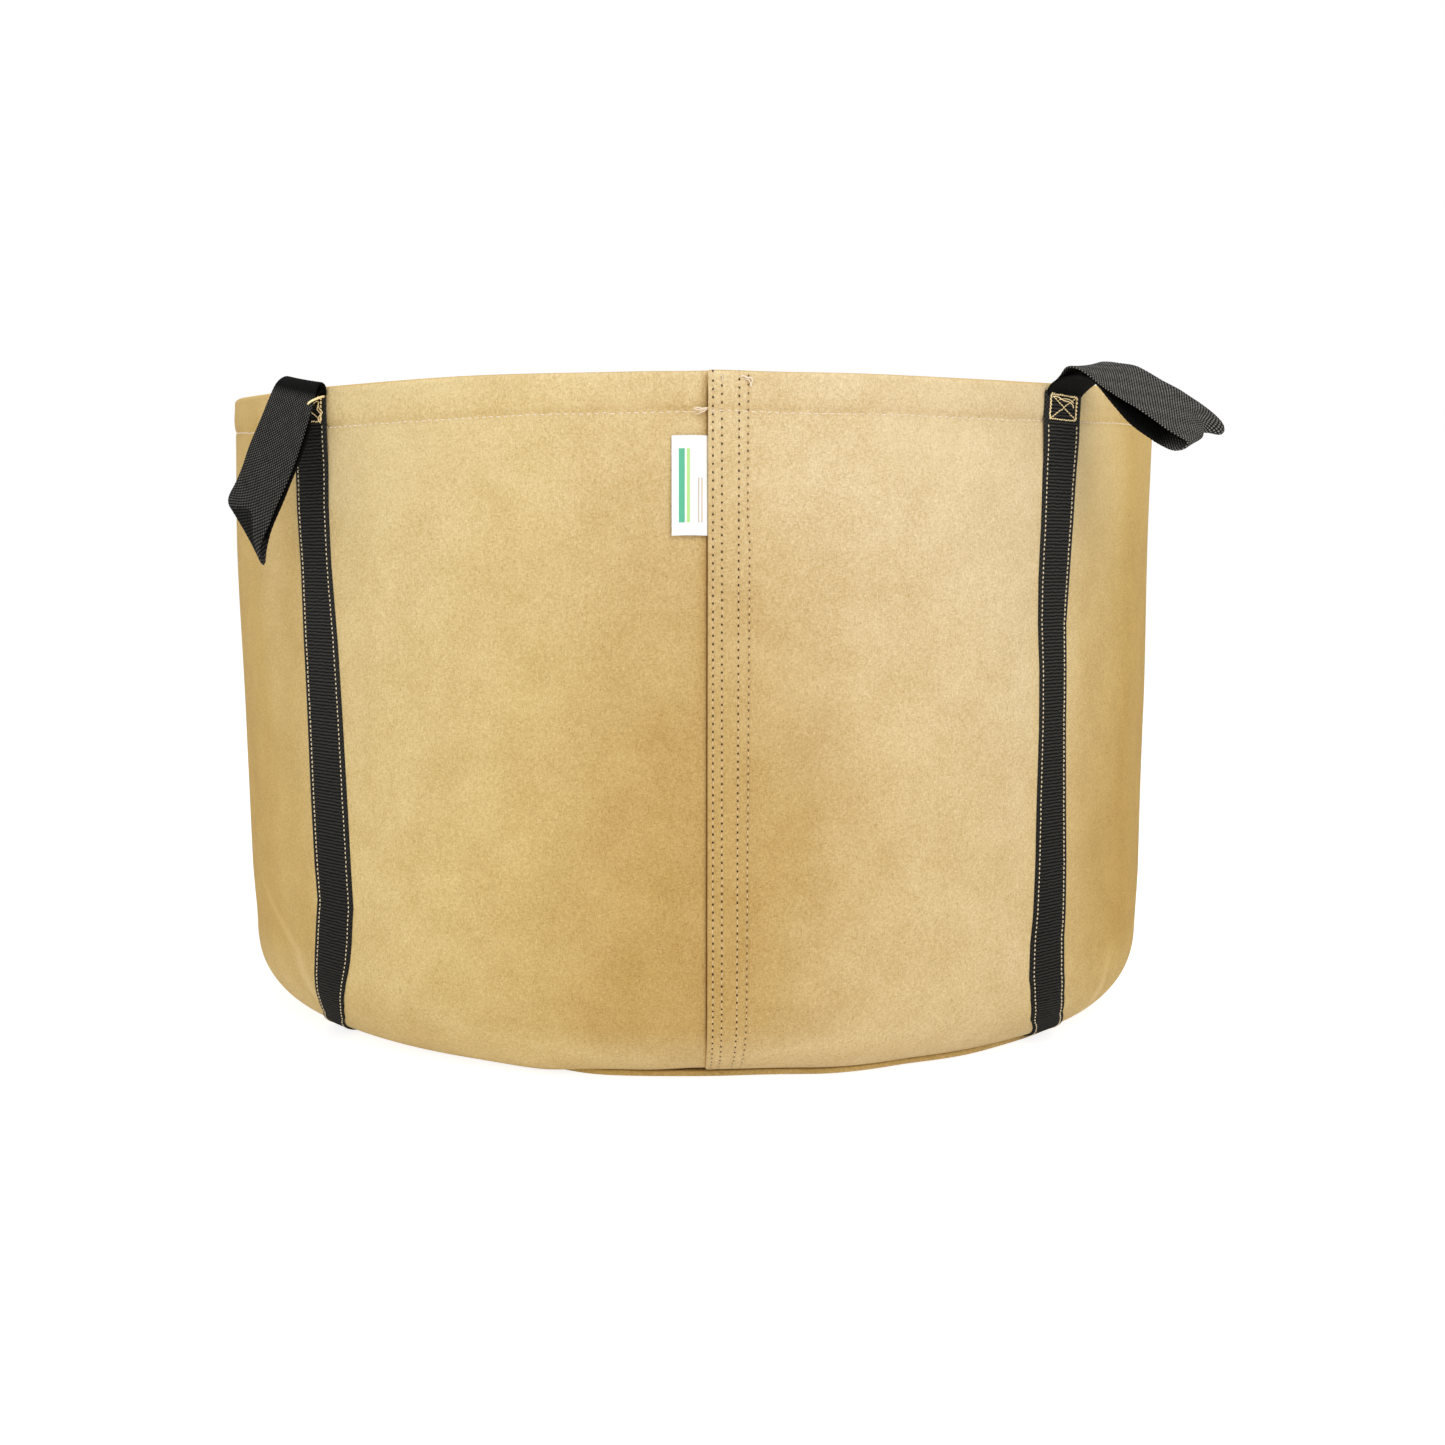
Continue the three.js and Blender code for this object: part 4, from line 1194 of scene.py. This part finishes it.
def make_tack(place):
    left, right, low, high = ((5.4, 40.2, 488.0, 506.0) if place == "front_right"
                              else (7.0, 44.0, 487.4, 505.8))
    runs = []
    for extra in (0.0, 0.75):              # top, sewn twice
        runs += tack_line(place, (left, high + extra * 0.6), (right, high - 0.8 - extra * 0.6),
                          skew=0.3, offset=extra * 0.2)
    runs += tack_line(place, (left, low), (right - 0.6, low - 0.4), skew=0.28)
    for start, end in (((left, high), (left - 0.2, low)),        # sides, sewn twice
                       ((left + 0.8, high - 1), (left + 0.4, low + 1)),
                       ((right, high - 0.6), (right - 0.4, low)),
                       ((right - 0.9, high - 1), (right - 1.0, low + 1))):
        runs += tack_line(place, start, end, skew=0.25)
    for start, end in (((left, low), (right, high - 0.6)), ((left, high), (right - 0.4, low))):
        runs += tack_line(place, start, end, pitch=3.0)
    loose = [tube([strap_point(place, *point) for point in points], radius)
             for radius, points in LOOSE_THREADS.get(place, [])]
    if place == "front_left":
        outward, sideways = strap_axes(place)
        loose.insert(1, tube([(RIM_R + out) * outward + side * sideways + np.array([0, 0, z])
                              for side, out, z in STRAND], 0.8))
    stitches(f"tack_{place}", runs, GLOWING_GOLD, f"box_tack_{place}",
             radius=0.45, lift=0.5, sink=0.3, jitter=0.1, extra=loose)


for strap in STRAPS:
    make_tack(strap)

# ---------------------------------------------------------------- carry loops
# Each loop is one ribbon: up from under the strap, out along the lower layer, round the end,
# back along the upper layer and down behind. A row gives distance out from the rim and z at
# the edge towards smaller angles, then the same at the edge towards larger angles.
LOOP_FRONT_RIGHT = [
    (1.0, 478, 1.0, 478), (1.3, 497, 1.3, 497), (1.8, 505, 1.6, 505.0),
    (4.2, 511.3, 3.9, 511.4), (9.6, 515.0, 10.4, 515.4), (18, 517.2, 20, 520.5),
    (30, 517.0, 33, 522.0), (43.4, 511.2, 48, 517.5), (58, 496.4, 62, 509.5),
    (72.7, 480.3, 77, 502.0), (90.2, 468.1, 92, 492.5), (102.5, 462.0, 103, 486.0),
    (109.7, 460.2, 110, 481.0), (115.6, 460.8, 113.5, 475.5), (119.3, 462.6, 117.6, 474.2),
    (119.9, 464.8, 119.4, 476.6), (117.6, 466.8, 118.2, 481.0), (112.8, 469.2, 114.0, 485.4),
    (102, 475.6, 106.0, 491.2), (89.8, 483.0, 93.3, 499.6), (77, 490.8, 83.3, 506.0),
    (64.8, 498.0, 68, 513.4), (54, 504.6, 56.2, 520.0), (45.1, 510.2, 45.9, 525.4),
    (33.7, 518.4, 32, 528.8), (25.5, 522.6, 23, 530.4), (18.0, 523.4, 14.5, 530.4),
    (13.4, 518.6, 8.6, 527.0), (9.2, 514.9, 4.6, 521.6), (4.6, 512.0, 2.0, 514.0),
    (1.3, 506.5, 0.9, 506.5), (0.7, 497, 0.7, 497), (0.5, 478, 0.5, 478),
]
LOOP_FRONT_LEFT = [
    (1.0, 478, 1.0, 478), (1.3, 497, 1.3, 497), (1.8, 505, 1.6, 505),
    (5.0, 511.0, 3.4, 509.6), (10.5, 509.0, 6.4, 506.0), (15.5, 500.0, 8.6, 497.0),
    (23.0, 484.0, 13.2, 481.0), (33.0, 462.0, 22.4, 457.0), (44.0, 441.0, 35.2, 430.0),
    (50.0, 430.0, 46.0, 406.0), (53.5, 424.6, 51.6, 389.0), (56.0, 423.4, 54.0, 380.2),
    (58.4, 424.6, 56.2, 379.6), (59.2, 428.4, 58.4, 386.4), (58.0, 432.6, 57.4, 394.6),
    (53.5, 440.5, 49.8, 409.0), (47.0, 453.0, 41.9, 425.2), (36.8, 473.8, 27.6, 455.6),
    (26.5, 494.0, 18.2, 480.0), (18.5, 508.8, 12.6, 499.0), (13.8, 516.9, 9.8, 508.4),
    (8.6, 521.6, 6.8, 513.6), (4.0, 522.6, 4.2, 514.4), (1.8, 518.6, 2.2, 512.4),
    (1.1, 509.5, 1.1, 507.0), (0.7, 499, 0.7, 499), (0.5, 478, 0.5, 478),
]


def back_loop_rows(rest, roll, sag):
    """A plain loop resting at an angle from level, rolled and sagging by some mm."""
    cosine, sine = math.cos(rest * DEG), math.sin(rest * DEG)
    line = [(x, -2.2 - sag * math.sin(math.pi * min(1, x / 128.0)) ** 1.3)
            for x in (3, 12, 24, 40, 56, 72, 88, 102, 112, 120, 124.4)]
    line += [(126.0, 0.6), (124.4, 2.6)]
    for x in (116, 100, 82, 64, 46, 30, 16, 6, 0):
        root = 3.6 if x < 20 else 1.5 * math.exp(-(x - 20) / 15)
        line.append((x, 2.6 + 4.2 * math.sin(math.pi * min(1, x / 125.0)) + root))
    rows = [(out, z, out, z) for out, z in ((1.0, 478), (1.3, 497), (1.8, 505), (4.6, 511.8))]
    for x, y in line:
        row = []
        for edge in (-1, 1):
            rolled = y + roll * edge * min(1, x / 60.0)
            row += [9.0 + x * cosine - rolled * sine, 515.5 + x * sine + rolled * cosine]
        rows.append(row)
    return rows + [(out, z, out, z) for out, z in
                   ((3.2, 519.0), (1.6, 512.5), (0.8, 504), (0.5, 478))]


def draw_in_end(points, part, outward):
    """The end draws in past the middle and hangs in a small lobe at the far corner."""
    reach = ease(points @ outward - RIM_R, 96, 121)
    draw = gauss(part - 0.70, 0.11)[None]
    lobe = ease(part, 0.80, 0.97)[None]
    points = points + outward * (-6.0 * draw * reach + 1.2 * lobe * reach)[..., None]
    lift = 2.4 * draw * reach - 1.6 * lobe * reach
    return points + np.array([0, 0, 1.0]) * lift[..., None]


def crease_shade(shade, part, along, total):
    """Painted shade on the turn of the webbing below the crease at the loop's end, with a dark
    painted line along the crease.
    """
    along = along[:, None]
    middle = 0.485 * total
    depth = (15.0 * ease(part, 0.02, 0.5) * (1 - ease(part, 0.55, 0.97)))[None]
    turn = (ease(along, middle - 4, middle)
            * (1 - ease(along, middle + depth - 0.8, middle + depth + 0.8)))
    line = (bell(along - middle - depth - 0.6, 0.9) * ease(part, 0.02, 0.1)[None]
            * (1 - ease(part, 0.86, 0.95))[None])
    turn = turn * (1 - ease(part, 0.88, 1.0))[None]
    return np.clip(np.maximum(np.maximum(shade, 0.86 * turn), line), 0, 1)


def loop_edges(place, rows, pinch):
    """The ribbon's two edges, and the running length of its middle, at even steps."""
    outward, sideways = strap_axes(place)
    upward = np.array([0, 0, 1])
    # the half width follows the roll, so that the webbing keeps its width
    rise = rows[:, 3] - rows[:, 1]
    reach = rows[:, 2] - rows[:, 0]
    half = np.sqrt(np.maximum(48.5 ** 2 - rise ** 2 - reach ** 2, 36 ** 2)) / 2
    half = np.clip(half, 20, 24.2)
    # the sewn ends are narrower than the strap that covers them, and follow its middle
    hidden = 1 - ease(rows[:, 1], 503, 512)
    hidden[6:-6] = 0.0
    low, high = strap_edges(place, 500.0)
    middle = float(angle_gap((low + high) / 2, STRAPS[place])) * DEG * STRAP_R
    half = half * (1 - hidden) + 20.6 * hidden
    shift = (middle * hidden)[:, None] * sideways
    pinched = half - pinch * np.interp(np.arange(len(rows)), [3, 5, 9, 11], [0, 1, 1, 0])
    left = ((RIM_R + rows[:, 0:1]) * outward + rows[:, 1:2] * upward
            - half[:, None] * sideways + shift)
    right = ((RIM_R + rows[:, 2:3]) * outward + rows[:, 3:4] * upward
             + pinched[:, None] * sideways + shift)
    gaps = np.linalg.norm(np.diff((left + right) / 2, axis=0), axis=1)
    marks = np.concatenate([[0], np.cumsum(np.maximum(gaps, 0.5))])
    along = np.linspace(0, marks[-1], int(marks[-1] / 0.8))
    edges = [spline(edge, marks, along) for edge in (left, right)]
    for edge in edges:
        for _ in range(6):                 # light smoothing along the ribbon
            edge[1:-1] = edge[1:-1] * 0.5 + (edge[2:] + edge[:-2]) * 0.25
    return *edges, along


def make_loop(place, rows, side_shade=0.0, reshape=None, reshade=None, pinch=0.0):
    left, right, along = loop_edges(place, np.array(rows), pinch)
    outward = strap_axes(place)[0]
    total = along[-1]
    length = along[:, None]
    part = np.linspace(0, 1, 41)
    size = (len(along), len(part))

    def away_from_ends(start, end):
        return ease(along, start, end) * (1 - ease(along, total - end, total - start))

    points = left[:, None] * (1 - part)[None, :, None] + right[:, None] * part[None, :, None]
    across = np.gradient(points, axis=1)
    normal = np.cross(np.gradient(points, axis=0), across)
    normal /= np.linalg.norm(normal, axis=2, keepdims=True)
    # gentle crown across and a slow ripple along
    free = away_from_ends(34, 55)[:, None]
    ripple = (0.35 * np.sin(length * 0.11 + 3 * part[None])
              + 0.25 * np.sin(length * 0.043 + 1.0)) * free
    crown = 0.9 * (4 * part * (1 - part) - 0.5)[None] * free
    points = points + normal * (ripple + crown)[..., None]
    if reshape is not None:
        points = reshape(points, part, outward)
    from_middle = np.abs(part - 0.5) * WEB_W
    thick = ((0.82 - 0.45 * ease(from_middle, 22.6, 24.0))[None]
             * (0.55 + 0.45 * away_from_ends(22, 36))[:, None])
    # selvedge scallops and knitted relief
    scallop = 0.07 * np.sin(length * 2 * math.pi / 3.1)
    side = np.where(part < 0.5, -1, 1) * ease(from_middle, 23.0, 24.0)
    across = across / np.linalg.norm(across, axis=2, keepdims=True)
    points = points + across * (side[None] * scallop * 2.0)[..., None]
    knit = (0.10 * np.sin(length * 2 * math.pi / 3.1)
            * np.sin(part * WEB_W * 2 * math.pi / 3.1)[None])
    outer = points + normal * (thick + knit)[..., None]
    inner = points - normal * (thick - knit)[..., None]
    uv = np.stack([np.broadcast_to(part[None] * (WEB_W / 1000), size),
                   np.broadcast_to(length * 0.001, size)], -1)
    # painted shade: the lower run and the roots, which face down, stay dark, and the extra amount
    # darkens a whole loop that faces away from the light
    dark = np.clip((1 - ease(along, total * 0.40, total * 0.46))
                   + ease(along, total - 62, total - 44) + side_shade, 0, 1)
    shade = np.broadcast_to(dark[:, None], size)
    if reshade is not None:
        shade = reshade(shade, part, along, total)
    loop = closed_sheet(f"carry_loop_{place}", outer, inner, WEAVE,
                        [f"handle_loop_{place}", f"handle_anchor_{place}"], uv, shade, body=None)
    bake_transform(loop)


make_loop("front_right", LOOP_FRONT_RIGHT, reshape=draw_in_end)
make_loop("front_left", LOOP_FRONT_LEFT, side_shade=0.52, reshade=crease_shade, pinch=5.0)
make_loop("back_right", back_loop_rows(rest=-34, roll=5.0, sag=11))
make_loop("back_left", back_loop_rows(rest=-50, roll=-6.0, sag=10))


# ---------------------------------------------------------------- tag
def make_tag():
    """It comes out from under the seam's edge, a little below the felt's outer face."""
    width, height = 25.0, 69.0
    across, up = np.meshgrid(np.linspace(0, width, 31), np.linspace(0, height, 60), indexing="ij")
    angle = SEAM_START - 0.03 - (width - across) / (DEG * RIM_R)
    z = 400.3 + up + 0.3 * np.sin(across * 0.12)
    radius = (wall_radius(470) - 1.6 + 0.12 * np.sin(up * 0.09)
              + 1.3 * ((width - across) / width) ** 1.6)
    closed_sheet("sewn_tag", polar(angle, radius + 0.2, z), polar(angle, radius - 0.2, z),
                 TAG_TAPE, ["label_tag"], np.stack([across * 0.001, up * 0.001], -1),
                 body="tag")


make_tag()


# ---------------------------------------------------------------- floor, light, camera
def by_camera(tree, output, unseen, seen):
    """Shows the camera one shader and all other rays another."""
    ray = tree.nodes.new("ShaderNodeLightPath")
    mix = tree.nodes.new("ShaderNodeMixShader")
    tree.links.new(ray.outputs["Is Camera Ray"], mix.inputs[0])
    tree.links.new(unseen.outputs[0], mix.inputs[1])
    tree.links.new(seen.outputs[0], mix.inputs[2])
    tree.links.new(mix.outputs[0], output.inputs[0])


def glowing(tree, grey, glow):
    diffuse = tree.nodes.new("ShaderNodeBsdfDiffuse")
    diffuse.inputs[0].default_value = (grey, grey, grey, 1)
    emission = tree.nodes.new("ShaderNodeEmission")
    emission.inputs[1].default_value = glow
    both = tree.nodes.new("ShaderNodeAddShader")
    tree.links.new(diffuse.outputs[0], both.inputs[0])
    tree.links.new(emission.outputs[0], both.inputs[1])
    return both


def make_floor():
    material = bpy.data.materials.new("floor")
    material.use_nodes = True
    tree = material.node_tree
    tree.nodes.clear()
    output = tree.nodes.new("ShaderNodeOutputMaterial")
    by_camera(tree, output, unseen=glowing(tree, grey=0.88, glow=0.19),
              seen=glowing(tree, grey=0.42, glow=0.84))
    half, z = 40.0, -0.0005
    mesh = bpy.data.meshes.new("floor")
    mesh.from_pydata([(-half, -half, z), (half, -half, z), (half, half, z), (-half, half, z)],
                     [], [(0, 1, 2, 3)])
    mesh.materials.append(material)
    floor = bpy.data.objects.new("floor", mesh)
    bpy.context.scene.collection.objects.link(floor)


def make_world():
    world = bpy.data.worlds.new("studio")
    bpy.context.scene.world = world
    world.use_nodes = True
    tree = world.node_tree
    tree.nodes.clear()
    output = tree.nodes.new("ShaderNodeOutputWorld")

    def white(strength):
        background = tree.nodes.new("ShaderNodeBackground")
        background.inputs[0].default_value = (1, 1, 1, 1)
        background.inputs[1].default_value = strength
        return background

    by_camera(tree, output, unseen=white(0.50), seen=white(1.0))


def area_light(name, place, target, size, power, colour=(1, 1, 1)):
    light = bpy.data.lights.new(name, "AREA")
    light.shape = "RECTANGLE"
    light.size = light.size_y = size
    light.energy = power
    light.color = colour
    lamp = bpy.data.objects.new(name, light)
    bpy.context.scene.collection.objects.link(lamp)
    lamp.location = place
    aim = Vector(target) - Vector(place)
    lamp.rotation_euler = aim.to_track_quat("-Z", "Y").to_euler()


def make_camera():
    camera = bpy.data.cameras.new("camera")
    camera.sensor_fit = "AUTO"
    camera.sensor_width = 36.0
    camera.lens = 44.55
    camera.shift_x = 0.01965
    camera.clip_end = 200
    holder = bpy.data.objects.new("camera", camera)
    holder.location = (0.03604, -1.65162, 0.38486)
    holder.rotation_euler = ((90 - 5.25) * DEG, 0, 1.25 * DEG)
    bpy.context.scene.collection.objects.link(holder)
    bpy.context.scene.camera = holder


make_floor()
make_world()
area_light("key", place=(1.5, -3.2, 2.5), target=(0.05, 0, 0.3), size=2.2, power=56.5,
           colour=(1.0, 0.985, 0.96))
area_light("fill", place=(-2.2, -3.0, 2.0), target=(0, 0, 0.3), size=2.2, power=26,
           colour=(0.97, 0.985, 1.0))
area_light("top", place=(0.0, 0.6, 3.4), target=(0, 0, 0.3), size=2.6, power=32.5)
make_camera()
view = bpy.context.scene.view_settings
view.view_transform = "Standard"
view.look = "None"
view.exposure = 0.0
view.gamma = 1.0
